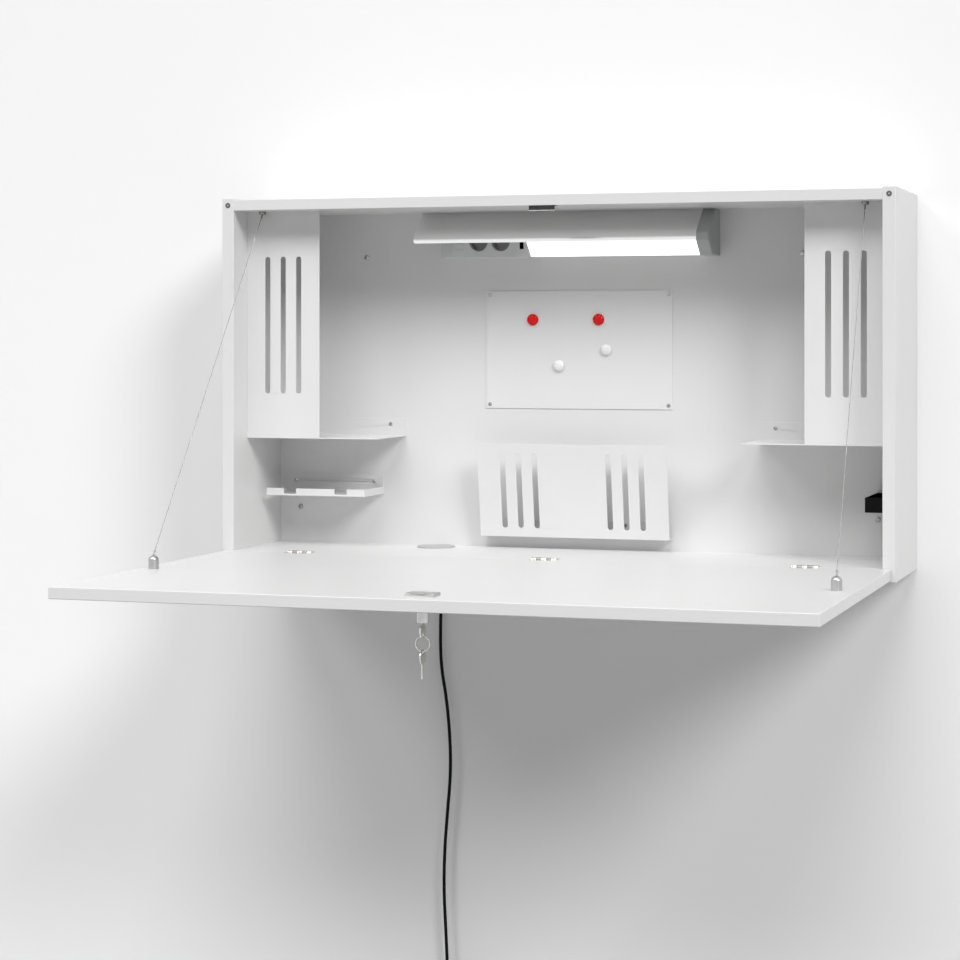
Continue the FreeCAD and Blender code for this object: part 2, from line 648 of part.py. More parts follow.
def grommet_ring():
    """A push-in cable outlet: a flange with a seat for its lid, over a sleeve in the floor."""
    centre = ("-grommet_left", "-grommet_back")
    flange = rod(centre + (FLOOR,), "grommet_radius", "grommet_flange")
    sleeve = rod(centre + (FLOOR + " - grommet_sleeve",), "grommet_bore", "grommet_sleeve")
    way_through = rod(centre + (FLOOR + " - grommet_sleeve",), "grommet_bore - grommet_wall",
                      "grommet_sleeve + grommet_flange")
    seat = rod(centre + (FLOOR + " + grommet_flange - lid_thick",), "lid_radius + lid_play", "lid_thick")
    return cut(fuse(flange, sleeve), way_through, seat)


def grommet_lid():
    """A flat lid that drops into the ring's seat."""
    return rod(("-grommet_left", "-grommet_back", FLOOR + " + grommet_flange - lid_thick"),
               "lid_radius", "lid_thick")


def build_fittings():
    left = pocket()
    node(mirror(left), "pocket_right")
    node(left, "pocket_left")
    node(hook_tray(), "hook_tray")
    node(pen_tray(), "pen_tray")
    node(document_holder(), "document_holder")
    node(magnet_board(), "magnet_board")
    node(group([screw(x, BOARD_Y, z) for x, z in board_screw_places()]), "board_screws")
    node(group([screw(x, BACK + " - sheet_thick", z) for x, z in wall_screw_places()]), "bracket_screws")
    node(grommet_ring(), "grommet_ring")
    node(grommet_lid(), "grommet_lid")
    for name, x, z in MAGNETS:
        node(magnet(x, z), name)


# ---- lamp and sockets ---------------------------------------------------------------------------

def visor():
    """The folded visor: it slopes forward and bends down into a lip with a rounded free corner."""
    points = ((LAMP_TOP_Y, CEILING), (NOSE_Y, KNEE_Z), (NOSE_Y, NOSE_Z), (NOSE_Y + " + visor_thick", NOSE_Z),
              (NOSE_Y + " + visor_thick", KNEE_Z), (LAMP_TOP_Y + " + visor_thick", CEILING))
    sheet = profile(points, "-visor_left", "lamp_right", "visor_bend", (1, 4))
    return soften(sheet, "visor_corner", lambda edge, whole: edge.XMax - whole.XMin < TOUCH
                  and edge.ZMax - whole.ZMin < TOUCH)


def diffuser():
    """The opal strip on the slanted lower face."""
    points = ((NOSE_Y + " + nose_step", NOSE_Z), (LAMP_FRONT_Y, LAMP_BASE),
              (LAMP_FRONT_Y + " + diffuser_thick", LAMP_BASE),
              (NOSE_Y + " + nose_step + diffuser_thick", NOSE_Z))
    return profile(points, "-diffuser_left", "lamp_right")


def lamp_housing():
    """The aluminium housing: full section behind the strip, upper part only over the sockets."""
    behind = "(%s + visor_thick)" % NOSE_Y
    over = "%s + (module_height - lamp_drop + lamp_nose_drop - visor_lip)*%s" % (behind, VISOR_SLOPE)
    strip = profile((
        (BACK, LAMP_BASE),
        (LAMP_FRONT_Y + " + diffuser_thick", LAMP_BASE),
        (NOSE_Y + " + nose_step + diffuser_thick", NOSE_Z),
        (behind, NOSE_Z),
        (behind, KNEE_Z + " - visor_bend/2"),
        (behind + " + visor_bend/2*" + VISOR_SLOPE, KNEE_Z + " + visor_bend/2"),
        (LAMP_TOP_Y + " + visor_thick", CEILING),
        (BACK, CEILING)), "-diffuser_left", "lamp_right")
    cover = profile((
        (BACK, MODULE_TOP), (over, MODULE_TOP), (LAMP_TOP_Y + " + visor_thick", CEILING),
        (BACK, CEILING)), "-module_left", "-diffuser_left")
    return fuse(strip, cover)


def right_cap():
    """The moulded end cap: rounded along its front and softened round its outer side."""
    points = ((BACK, LAMP_BASE), (LAMP_FRONT_Y, LAMP_BASE), (NOSE_Y, NOSE_Z), (NOSE_Y, KNEE_Z),
              (LAMP_TOP_Y, CEILING), (BACK, CEILING))
    cap = profile(points, "lamp_right", "lamp_right + cap_width", "cap_radius", (1, 2, 3))
    return soften(cap, "cap_edge", lambda edge, whole: whole.XMax - edge.XMin < TOUCH
                  and whole.YMax - edge.YMax > TOUCH)


def left_cap():
    """A plain plate that closes the socket end behind the visor."""
    front = LAMP_FRONT_Y + " + module_lean"
    points = ((BACK, LAMP_BASE), (front, LAMP_BASE), (front, MODULE_TOP),
              (LAMP_TOP_Y + " + visor_thick", CEILING), (BACK, CEILING))
    return profile(points, "-module_left - cap_width", "-module_left")


def socket_centres():
    return ("-socket_left", "-socket_left + socket_pitch")


def socket_module():
    points = ((BACK, LAMP_BASE), (LAMP_FRONT_Y, LAMP_BASE), (LAMP_FRONT_Y + " - module_lean", MODULE_TOP),
              (BACK, MODULE_TOP))
    block = profile(points, "-module_left", "-diffuser_left")
    front = LAMP_FRONT_Y + " - module_lean"
    wells = [rod((x, front, LAMP_BASE + " + socket_rise"), "socket_radius + socket_gap",
                 "socket_depth + module_lean + socket_gap", "y") for x in socket_centres()]
    port = box(("-usb_left - usb_width/2", front, LAMP_BASE + " + usb_rise - usb_height/2"),
               ("-usb_left + usb_width/2", front + " + module_lean + usb_depth",
                LAMP_BASE + " + usb_rise + usb_height/2"))
    seat = box(("-rocker_left - rocker_width/2 - rocker_gap", front,
                LAMP_BASE + " + rocker_rise - rocker_height/2 - rocker_swing_gap"),
               ("-rocker_left + rocker_width/2 + rocker_gap",
                front + " + module_lean + 2*rocker_thick",
                LAMP_BASE + " + rocker_rise + rocker_height/2 + rocker_swing_gap"))
    return cut(block, port, seat, *wells)


def socket_inserts():
    """Round socket wells with two contact holes in the floor of each."""
    inserts = []
    centre_z = LAMP_BASE + " + socket_rise"
    for x in socket_centres():
        shell = rod((x, LAMP_FRONT_Y, centre_z), "socket_radius", "socket_depth", "y")
        room = rod((x, LAMP_FRONT_Y + " - 1", centre_z), "socket_radius - socket_wall",
                   "socket_depth - 2*socket_wall + 1", "y")
        contacts = [rod(("%s %s pin_hole_pitch/2" % (x, side), LAMP_FRONT_Y, centre_z),
                        "pin_hole_radius", "socket_depth", "y") for side in "+-"]
        inserts.append(cut(shell, room, *contacts))
    return inserts


def rocker():
    """The lamp switch, tilted to its off side."""
    paddle = doc.addObject("Part::Box", "rocker")
    bind(paddle, Length="rocker_width", Width="rocker_thick", Height="rocker_height")
    tilt = math.radians(size("rocker_tilt"))
    paddle.Placement = FreeCAD.Placement(VECTOR(), FreeCAD.Rotation(X_AXIS, size("rocker_tilt")))
    paddle.setExpression("Placement.Rotation.Angle", formula("rocker_tilt"))
    middle_y = LAMP_FRONT_Y + " + rocker_thick/2 - module_lean/2"
    middle_z = LAMP_BASE + " + rocker_rise"
    back = "(rocker_thick/2*cos(rocker_tilt) - rocker_height/2*sin(rocker_tilt))"
    down = "(rocker_thick/2*sin(rocker_tilt) + rocker_height/2*cos(rocker_tilt))"
    return place(paddle, "-rocker_left - rocker_width/2", "%s - %s" % (middle_y, back),
                 "%s - %s" % (middle_z, down))


def build_lamp():
    node(lamp_housing(), "lamp_housing")
    node(visor(), "lamp_visor")
    node(diffuser(), "lamp_diffuser")
    node(right_cap(), "lamp_end_cap_right")
    node(left_cap(), "lamp_end_cap_left")
    node(socket_module(), "socket_module")
    node(group(socket_inserts()), "socket_inserts")
    node(rocker(), "rocker_switch")


# ---- lamp lead ----------------------------------------------------------------------------------

def tube(points, radius):
    """A tube along straight runs joined by tangent arcs, as large as the runs allow."""
    corners = [VECTOR(*point) for point in points]
    edges = []
    at = corners[0]
    for before, corner, after in zip(corners, corners[1:], corners[2:]):
        into = (corner - before).normalize()
        out = (after - corner).normalize()
        turn = into.getAngle(out)
        reach = 0.45 * min((corner - before).Length, (after - corner).Length)
        start = corner - into * reach
        end = corner + out * reach
        bend = reach / math.tan(turn / 2)
        centre = corner + (out - into).normalize() * (reach / math.sin(turn / 2))
        middle = centre - (out - into).normalize() * bend
        edges.append(Part.LineSegment(at, start).toShape())
        edges.append(Part.Arc(start, middle, end).toShape())
        print("lead arc radius %.0f mm" % bend)
        at = end
    edges.append(Part.LineSegment(at, corners[-1]).toShape())
    path = Part.Wire(edges)
    section = Part.Wire([Part.Circle(corners[0], corners[1] - corners[0], radius).toShape()])
    swept = path.makePipeShell([section], True, False)
    print("lead run %.0f mm, volume ratio %.4f"
          % (path.Length, swept.Volume / (math.pi * radius ** 2 * path.Length)))
    return swept


def gland():
    """An elbow gland: in through the back panel, out downwards beside the wall."""
    neck = rod(("-lead_left", BACK, "lead_outlet + gland_length/2"), "gland_neck",
               "back_thick + rail_depth - lead_back", "y")
    elbow = turned((("0", "0"), ("gland_tip", "0"), ("gland_radius", "gland_taper"),
                    ("gland_radius", "gland_length - gland_radius/4"),
                    ("gland_radius*3/4", "gland_length"), ("0", "gland_length")),
                   ("-lead_left", "-lead_back", "lead_outlet"))
    return fuse(neck, elbow)


def lead_clip(x, z):
    block = box((x + " - clip_size/2", "-rail_depth", z + " - clip_height/2"),
                (x + " + clip_size/2", "-rail_depth + clip_size", z + " + clip_height/2"))
    bore = rod((x, "-lead_back", z + " - clip_height/2"), "clip_bore", "clip_height")
    return cut(block, bore)


def lead_clips():
    return [lead_clip("-upper_clip_left", "-rail_height/2 - upper_clip_drop"),
            lead_clip("-lower_clip_left", LOWER_BOLT + " + rail_height/2 + lower_clip_rise")]


def coil_tie():
    centre = (COIL_CENTRE[0] - size("coil_radius"), COIL_CENTRE[1], COIL_CENTRE[2] - size("tie_height") / 2)
    return cut(rod(centre, "tie_radius", "tie_height"), rod(centre, "tie_bore", "tie_height"))


def relief_ribs():
    """Corners of the flexing relief below the lead: a cone cut by three grooves."""
    corners = [("relief_radius", "0")]
    for number in (1, 3, 5):
        top = "-relief_length*%d/7" % number
        foot = "-relief_length*%d/7" % (number + 1)
        over = "(relief_radius + (relief_flare - relief_radius)*%d/7)" % number
        under = "(relief_radius + (relief_flare - relief_radius)*%d/7)" % (number + 1)
        corners += [(over, top), (over + " - relief_groove", top), (under + " - relief_groove", foot),
                    (under, foot)]
    return corners + [("relief_flare", "-relief_length")]


def mains_plug():
    """A round mains plug that hangs from the tail: ribbed relief, waisted grip, body and two pins."""
    end = tuple(str(value) for value in TAIL_ROUTE[-1])
    foot = "-relief_length - plug_length"
    body = turned([("0", "0")] + relief_ribs() + [
        ("grip_radius", "-relief_length - shoulder_length"),
        ("grip_radius", "-relief_length - grip_length"),
        ("plug_body_radius", "-relief_length - grip_length - shoulder_length"),
        ("plug_body_radius", foot + " + plug_edge"), ("plug_body_radius - plug_edge", foot), ("0", foot)],
        end)
    pins = []
    for side in "+-":
        x = "%s %s plug_pin_pitch/2" % (end[0], side)
        top = "%s - relief_length - plug_length" % end[2]
        pins.append(rod((x, end[1], top + " - plug_pin_length + plug_edge"), "plug_pin_radius",
                        "plug_pin_length - plug_edge"))
        pins.append(taper((x, end[1], top + " - plug_pin_length"), "plug_pin_point", "plug_pin_radius",
                          "plug_edge"))
    return fuse(body, *pins)


def build_lead():
    node(gland(), "lead_gland")
    node(group(lead_clips()), "lead_clips")
    node(solid(tube(LEAD_ROUTE, size("lead_radius"))), "lamp_lead")
    node(hoop(COIL_CENTRE, "coil_radius", "coil_section"), "lead_coil")
    node(solid(tube(TAIL_ROUTE, size("lead_radius"))), "lead_tail")
    node(coil_tie(), "coil_tie")
    node(mains_plug(), "mains_plug")


# ---- flap, hinges and stays ---------------------------------------------------------------------

KNUCKLES = 5


def knuckle_span(x, number):
    """Low and high x of one of the interleaved knuckles."""
    pitch = "leaf_width/%d" % KNUCKLES
    low = "%s - leaf_width/2 + %d*%s" % (x, number, pitch)
    return low + " + hinge_play/2", low + " + %s - hinge_play/2" % pitch


def hinge_leaf(x, way, numbers, play):
    """One leaf: a flush plate and the knuckles with these numbers."""
    sign = 1 if way == "+" else -1
    near = "%s %s (knuckle_radius + hinge_play)" % (AXIS_Y, way)
    far = "%s %s leaf_reach" % (AXIS_Y, way)
    low_y, high_y = (near, far) if sign > 0 else (far, near)
    plate = box(("%s - leaf_width/2" % x, low_y, FLOOR + " - leaf_thick"),
                ("%s + leaf_width/2" % x, high_y, FLOOR))
    pieces = [plate]
    for number in numbers:
        start, end = knuckle_span(x, number)
        web_low, web_high = (AXIS_Y, near) if sign > 0 else (near, AXIS_Y)
        pieces.append(rod((start, AXIS_Y, FLOOR), "knuckle_radius", "(%s) - (%s)" % (end, start), "x"))
        pieces.append(box((start, web_low, FLOOR + " - leaf_thick"), (end, web_high, FLOOR)))
    bore = rod(("%s - leaf_width/2" % x, AXIS_Y, FLOOR), "pin_radius + %s" % play, "leaf_width", "x")
    holes = [leaf_screw(*spot) for spot in leaf_screw_places(x, way)]
    return cut(fuse(*pieces), bore, *holes)


def hinge_pin(x):
    return rod(("%s - leaf_width/2" % x, AXIS_Y, FLOOR), "pin_radius", "leaf_width", "x")


def build_hinges():
    for name, x in zip(("left", "middle", "right"), HINGES):
        node(hinge_leaf(x, "+", (1, 3), "0"), "hinge_leaf_cabinet_" + name)
        node(hinge_leaf(x, "-", (0, 2, 4), "pin_play"), "hinge_leaf_flap_" + name)
    node(group([hinge_pin(x) for x in HINGES]), "hinge_pins")
    for way, name in (("+", "cabinet_leaf_screws"), ("-", "flap_leaf_screws")):
        node(group([leaf_screw(*spot) for x in HINGES for spot in leaf_screw_places(x, way)]), name)


def flap_board():
    edge = "(%s - flap_inset)" % RIGHT
    slab = board(("-" + edge, FLAP_FRONT, FLOOR + " - flap_thick"), (edge, FLAP_BACK, FLOOR),
                 "flap_radius", not_at_back)
    bed = box((LOCK_X + " - case_width/2 - recess_gap", LOCK_Y + " - case_length/2 - recess_gap",
               FLOOR + " - case_bed - recess_gap"),
              (LOCK_X + " + case_width/2 + recess_gap", LOCK_Y + " + case_length/2 + recess_gap", FLOOR))
    bore = rod((LOCK_X, LOCK_Y, FLOOR + " - flap_thick"), "cylinder_radius + recess_gap", "flap_thick")
    recesses = [hinge_recess(x) for x in HINGES]
    return cut(slab, bed, bore, *recesses, *leaf_screw_holes("-"))


def stay_post(sign):
    """A chrome post with a domed top that holds the end of a stay wire."""
    body = doc.addObject("PartDesign::Body", "post")
    stem = body.newObject("PartDesign::AdditiveCylinder", "stem")
    bind(stem, Radius="post_radius", Height="post_height")
    doc.recompute()
    rim = ["Edge%d" % (number + 1) for number, edge in enumerate(stem.Shape.Edges)
           if edge.BoundBox.ZMin > size("post_height") - TOUCH]
    dome = body.newObject("PartDesign::Fillet", "dome")
    dome.Base = (stem, rim)
    bind(dome, Radius="dome_radius")
    body.Tip = dome
    return place(body, "%d*(%s - post_inset)" % (sign, RIGHT), AXIS_Y + " - post_reach", FLOOR)


def stay_anchor(sign):
    return rod(("%d*(%s - anchor_inset)" % (sign, RIGHT), FRONT + " + anchor_reach",
                CEILING + " - anchor_height"), "anchor_radius", "anchor_height")


def stay_wire(sign):
    """A straight steel wire from the anchor's face to the top of the post."""
    half = size("cabinet_width") / 2
    board = size("panel_inset") + size("panel_thick")
    ceiling = size("bolt_drop") - board
    floor = size("bolt_drop") - size("cabinet_height") + board
    upper = VECTOR(sign * (half - size("anchor_inset")), size("anchor_reach") - size("cabinet_depth"),
                   ceiling - size("anchor_height"))
    lower = VECTOR(sign * (half - size("post_inset")),
                   -size("cabinet_depth") - size("joint_gap") / 2 - size("post_reach"),
                   floor + size("post_height"))
    run = upper - lower
    gap = size("wire_radius") / math.sin(run.getAngle(VECTOR(run.x, run.y, 0)))
    direction = VECTOR(run).normalize()
    start = lower + direction * gap
    return Part.makeCylinder(size("wire_radius"), run.Length - 2 * gap, start, direction)


def build_flap():
    node(flap_board(), "flap_board")
    node(group([stay_post(-1), stay_post(1)]), "stay_posts")
    node(group([stay_anchor(-1), stay_anchor(1)]), "stay_anchors")
    node(solid(stay_wire(-1)), "stay_wire_left")
    node(solid(stay_wire(1)), "stay_wire_right")


# ---- lock ---------------------------------------------------------------------------------------

def lock_case():
    """A mortised case with a slot for the sliding bolt just above the flap's face."""
    front = LOCK_Y + " - case_length/2"
    case = box((LOCK_X + " - case_width/2", front, FLOOR + " - case_bed"),
               (LOCK_X + " + case_width/2", LOCK_Y + " + case_length/2", FLOOR + " + case_proud"))
    channel = box((LOCK_X + " - bolt_width/2 - bolt_play", front, FLOOR + " + bolt_lift - bolt_play"),
                  (LOCK_X + " + bolt_width/2 + bolt_play", front + " + bolt_length + bolt_play",
                   FLOOR + " + bolt_lift + bolt_thick + bolt_play"))
    return cut(case, channel)


def lock_bolt():
    front = LOCK_Y + " - case_length/2"
    return box((LOCK_X + " - bolt_width/2", front, FLOOR + " + bolt_lift"),
               (LOCK_X + " + bolt_width/2", front + " + bolt_length",
                FLOOR + " + bolt_lift + bolt_thick"))


def lock_cylinder():
    length = "flap_thick + cylinder_drop - case_bed"
    return cut(rod((LOCK_X, LOCK_Y, CYLINDER_END), "cylinder_radius", length),
               rod((LOCK_X, LOCK_Y, CYLINDER_END), "plug_radius + plug_play", length))


def lock_plug():
    barrel = rod((LOCK_X, LOCK_Y, CYLINDER_END), "plug_radius",
                 "flap_thick + cylinder_drop - case_bed - plug_play")
    keyway = box((LOCK_X + " - key_thick/2 - plug_play", LOCK_Y + " - blade_width/2 - plug_play",
                  CYLINDER_END),
                 (LOCK_X + " + key_thick/2 + plug_play", LOCK_Y + " + blade_width/2 + plug_play",
                  CYLINDER_END + " + blade_length + plug_play"))
    return cut(barrel, keyway)


def key(bow, way):
    """A flat key in the y-z plane: round bow with a hole at one end, cut and grooved blade at the other."""
    sign = 1 if way == "+" else -1
    side = LOCK_X + " - key_thick/2"
    disc = rod((side, LOCK_Y, bow), "bow_radius", "key_thick", "x")
    root = "%s %s (bow_radius + key_shoulder)" % (bow, way)
    tip = "%s %s blade_length" % (root, way)
    low, high = (bow, tip) if sign > 0 else (tip, bow)
    blade = box((side, LOCK_Y + " - blade_width/2", low),
                (LOCK_X + " + key_thick/2", LOCK_Y + " + blade_width/2", high))
    hole = rod((side, LOCK_Y, "%s %s key_hole_offset" % (bow, "-" if sign > 0 else "+")),
               "key_hole_radius", "key_thick", "x")
    bites = [rod((side, LOCK_Y + " + blade_width/2", "%s %s blade_length*%s" % (root, way, share)),
                 "blade_width/5", "key_thick", "x") for share in ("0.3", "0.5", "0.7", "0.88")]
    low, high = (root, tip) if sign > 0 else (tip, root)
    grooves = [box((LOCK_X + start, LOCK_Y + " - groove_width", low), (LOCK_X + end, LOCK_Y, high))
               for start, end in ((" - key_thick/2", " - key_thick/2 + groove_depth"),
                                  (" + key_thick/2 - groove_depth", " + key_thick/2"))]
    return cut(fuse(disc, blade), hole, *bites, *grooves)


def build_lock():
    node(lock_case(), "lock_case")
    node(lock_cylinder(), "lock_cylinder")
    node(lock_bolt(), "lock_bolt")
    node(lock_plug(), "lock_plug")
    node(key(KEY_BOW, "+"), "key_in_lock")
    node(hoop((LOCK_X, LOCK_Y, RING_TOP + " - ring_radius"), "ring_radius", "ring_wire"), "key_ring")
    node(key(SPARE_BOW, "-"), "spare_key")


# ---- check and export ---------------------------------------------------------------------------

def check():
    for item in doc.Objects:
        if "Invalid" in item.State or "Error" in item.State:
            raise RuntimeError("%s (%s) did not build: %s" % (item.Label, item.Name, item.State))
    for item in nodes:
        if item.Shape.isNull() or not item.Shape.isValid():
            raise RuntimeError("%s has no valid shape" % item.Label)


def export():
    os.makedirs("parts", exist_ok=True)
    for item in nodes:
        item.Shape.exportStep(os.path.join("parts", item.Label + ".step"))
    print("%d nodes written" % len(nodes))


fill_sheet()
build_cabinet()
build_fittings()
build_lamp()
build_lead()
build_hinges()
build_flap()
build_lock()
doc.recompute()
check()
export()
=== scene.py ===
"""Looks of the fold down wall desk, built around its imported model.

Metres, +Z up, the room towards -Y.
"""
import bmesh
import bpy
import json
import math
from mathutils import Matrix, Vector


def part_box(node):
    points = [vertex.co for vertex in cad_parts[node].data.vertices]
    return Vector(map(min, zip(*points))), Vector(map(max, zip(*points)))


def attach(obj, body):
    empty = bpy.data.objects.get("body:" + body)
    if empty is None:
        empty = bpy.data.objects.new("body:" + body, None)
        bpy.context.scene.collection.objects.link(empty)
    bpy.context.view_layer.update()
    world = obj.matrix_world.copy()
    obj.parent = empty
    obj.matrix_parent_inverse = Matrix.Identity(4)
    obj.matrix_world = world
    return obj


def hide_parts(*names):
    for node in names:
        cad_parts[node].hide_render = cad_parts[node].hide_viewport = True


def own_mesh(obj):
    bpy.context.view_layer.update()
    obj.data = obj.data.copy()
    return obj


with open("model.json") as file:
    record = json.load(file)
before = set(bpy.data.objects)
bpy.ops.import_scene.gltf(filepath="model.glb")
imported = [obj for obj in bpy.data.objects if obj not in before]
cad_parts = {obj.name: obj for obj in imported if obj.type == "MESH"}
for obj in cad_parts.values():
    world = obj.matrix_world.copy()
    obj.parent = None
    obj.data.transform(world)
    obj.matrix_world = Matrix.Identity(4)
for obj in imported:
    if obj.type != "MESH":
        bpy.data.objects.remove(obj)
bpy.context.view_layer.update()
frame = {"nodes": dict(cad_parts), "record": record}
nodes = frame["nodes"]

MM = 0.001
WELD_GAP = 0.000002
SMOOTH_BELOW = 35
# The turn of a piece whose own +Z is to point out of the back panel, towards the room.
FACE_OUT = Matrix.Rotation(math.radians(90), 4, "X")

PINS_LOW, PINS_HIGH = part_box("hinge_pins")
HINGE_Y = (PINS_LOW.y + PINS_HIGH.y) / 2
FLOOR_Z = (PINS_LOW.z + PINS_HIGH.z) / 2
PANEL_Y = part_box("back_panel")[0].y


# ---- shared effects of the finishes -------------------------------------------------------------

def effect(name, inputs, outputs):
    """A shader group with named sockets; returns the tree and its two ends."""
    tree = bpy.data.node_groups.new(name, "ShaderNodeTree")
    kinds = {"value": "NodeSocketFloat", "colour": "NodeSocketColor", "vector": "NodeSocketVector"}
    for label, kind in inputs:
        tree.interface.new_socket(label, in_out="INPUT", socket_type=kinds[kind])
    for label, kind in outputs:
        tree.interface.new_socket(label, in_out="OUTPUT", socket_type=kinds[kind])
    return tree, tree.nodes.new("NodeGroupInput"), tree.nodes.new("NodeGroupOutput")


def feed(tree, socket, value):
    """Give a socket a plain value, or link it to another socket."""
    if isinstance(value, bpy.types.NodeSocket):
        tree.links.new(value, socket)
    else:
        socket.default_value = value


def reckon(tree, operation, first, second):
    """A math node on two sockets or plain numbers; returns its result."""
    node = tree.nodes.new("ShaderNodeMath")
    node.operation = operation
    feed(tree, node.inputs[0], first)
    feed(tree, node.inputs[1], second)
    return node.outputs[0]


def noise(tree, vector, scale, detail=3, roughness=0.55):
    texture = tree.nodes.new("ShaderNodeTexNoise")
    texture.inputs["Detail"].default_value = detail
    texture.inputs["Roughness"].default_value = roughness
    tree.links.new(vector, texture.inputs["Vector"])
    feed(tree, texture.inputs["Scale"], scale)
    return texture.outputs["Fac"]


def stretched(tree, value, low, high):
    """A node that spreads the part of a noise between low and high over its whole range."""
    node = tree.nodes.new("ShaderNodeMapRange")
    node.inputs["From Min"].default_value = low
    node.inputs["From Max"].default_value = high
    tree.links.new(value, node.inputs["Value"])
    return node


SLOPE_SCALE = 0.23


def fine_grain():
    """The small pits and hills of a pressed or sprayed skin."""
    tree, given, result = effect("Fine grain", [
        ("Place", "vector"), ("Scale", "value"), ("Depth", "value")], [("Height", "value")])
    place, scale = given.outputs["Place"], given.outputs["Scale"]
    hills = noise(tree, place, scale, 2)
    slopes = noise(tree, place, reckon(tree, "MULTIPLY", scale, SLOPE_SCALE), 1)
    height = reckon(tree, "MULTIPLY", reckon(tree, "ADD", hills, slopes), given.outputs["Depth"])
    tree.links.new(height, result.inputs["Height"])
    return tree


def tone_drift():
    """A slow change between two near tones."""
    tree, given, result = effect("Tone drift", [
        ("Place", "vector"), ("Scale", "value"), ("Light", "colour"), ("Dark", "colour")],
        [("Colour", "colour")])
    drift = noise(tree, given.outputs["Place"], given.outputs["Scale"], 3, 0.5)
    share = stretched(tree, drift, 0.35, 0.65)
    mix = tree.nodes.new("ShaderNodeMix")
    mix.data_type = "RGBA"
    tree.links.new(share.outputs["Result"], mix.inputs["Factor"])
    tree.links.new(given.outputs["Light"], mix.inputs["A"])
    tree.links.new(given.outputs["Dark"], mix.inputs["B"])
    tree.links.new(mix.outputs["Result"], result.inputs["Colour"])
    return tree


def handling_marks():
    """Patches where hands and cloths have changed how dull a surface is."""
    tree, given, result = effect("Handling marks", [
        ("Place", "vector"), ("Scale", "value"), ("Clean", "value"), ("Dull", "value")],
        [("Roughness", "value")])
    patches = noise(tree, given.outputs["Place"], given.outputs["Scale"], 6, 0.62)
    wear = stretched(tree, patches, 0.4, 0.72)
    tree.links.new(given.outputs["Clean"], wear.inputs["To Min"])
    tree.links.new(given.outputs["Dull"], wear.inputs["To Max"])
    tree.links.new(wear.outputs["Result"], result.inputs["Roughness"])
    return tree


def drawn_lines():
    """Fine parallel lines left by drawing or brushing, along the axis that is stretched least."""
    tree, given, result = effect("Drawn lines", [
        ("Place", "vector"), ("Stretch", "vector"), ("Depth", "value")], [("Height", "value")])
    scaled = tree.nodes.new("ShaderNodeVectorMath")
    scaled.operation = "MULTIPLY"
    tree.links.new(given.outputs["Place"], scaled.inputs[0])
    tree.links.new(given.outputs["Stretch"], scaled.inputs[1])
    lines = noise(tree, scaled.outputs[0], 1.0, 4, 0.7)
    height = reckon(tree, "MULTIPLY", lines, given.outputs["Depth"])
    tree.links.new(height, result.inputs["Height"])
    return tree


GRAIN = fine_grain()
DRIFT = tone_drift()
MARKS = handling_marks()
LINES = drawn_lines()


# ---- finishes -----------------------------------------------------------------------------------

class Finish:
    """A material in the making, with its main shader and the shared effects."""

    def __init__(self, name, **plain):
        self.material = bpy.data.materials.new(name)
        self.material.use_nodes = True
        self.tree = self.material.node_tree
        self.shader = self.tree.nodes["Principled BSDF"]
        self.place = self.tree.nodes.new("ShaderNodeTexCoord").outputs["Object"]
        for label, value in plain.items():
            self.shader.inputs[label.replace("_", " ")].default_value = value

    def group(self, shared, **values):
        node = self.tree.nodes.new("ShaderNodeGroup")
        node.node_tree = shared
        self.tree.links.new(self.place, node.inputs["Place"])
        for label, value in values.items():
            node.inputs[label].default_value = value
        return node

    def tone(self, light, dark, scale):
        node = self.group(DRIFT, Scale=scale, Light=(*light, 1), Dark=(*dark, 1))
        self.tree.links.new(node.outputs["Colour"], self.shader.inputs["Base Color"])
        return self

    def gloss(self, clean, dull, scale):
        node = self.group(MARKS, Scale=scale, Clean=clean, Dull=dull)
        self.tree.links.new(node.outputs["Roughness"], self.shader.inputs["Roughness"])
        return self

    def relief(self, node):
        bump = self.tree.nodes.new("ShaderNodeBump")
        bump.inputs["Distance"].default_value = 1.0
        self.tree.links.new(node.outputs["Height"], bump.inputs["Height"])
        self.tree.links.new(bump.outputs["Normal"], self.shader.inputs["Normal"])
        return self.material

    def grain(self, scale, depth):
        return self.relief(self.group(GRAIN, Scale=scale, Depth=depth))

    def lines(self, stretch, depth):
        return self.relief(self.group(LINES, Stretch=stretch, Depth=depth))


def white_melamine():
    """Furniture board: a satin white skin with a very fine pearl."""
    return Finish("white melamine", Coat_Weight=0.12, Coat_Roughness=0.24).tone(
        (0.70, 0.70, 0.698), (0.685, 0.685, 0.684), 2.2).gloss(0.34, 0.4, 3.0).grain(1400, 0.000006)


def backing_melamine():
    """The thinner, slightly duller skin of the back panel."""
    return Finish("backing melamine").tone((0.72, 0.72, 0.72), (0.705, 0.705, 0.705), 1.6).gloss(
        0.46, 0.52, 3.0).grain(1200, 0.000006)


def white_powder_coat():
    """Powder coat on sheet steel: a fine orange peel."""
    return Finish("white powder coat", Coat_Weight=0.2, Coat_Roughness=0.3).tone(
        (0.715, 0.715, 0.715), (0.70, 0.70, 0.702), 6.0).gloss(0.36, 0.42, 8.0).grain(520, 0.000012)


def white_enamel():
    """Smooth enamel on the magnet board."""
    return Finish("white enamel", Coat_Weight=0.3, Coat_Roughness=0.16).tone(
        (0.74, 0.74, 0.74), (0.73, 0.73, 0.732), 4.0).gloss(0.34, 0.38, 5.0).grain(160, 0.000004)


def visor_metal():
    """Pale anodised aluminium, drawn along its length."""
    return Finish("visor metal", Metallic=1.0).tone(
        (0.88, 0.88, 0.88), (0.85, 0.85, 0.85), 5.0).gloss(0.2, 0.25, 9.0).lines(
        (12, 1100, 1100), 0.000008)


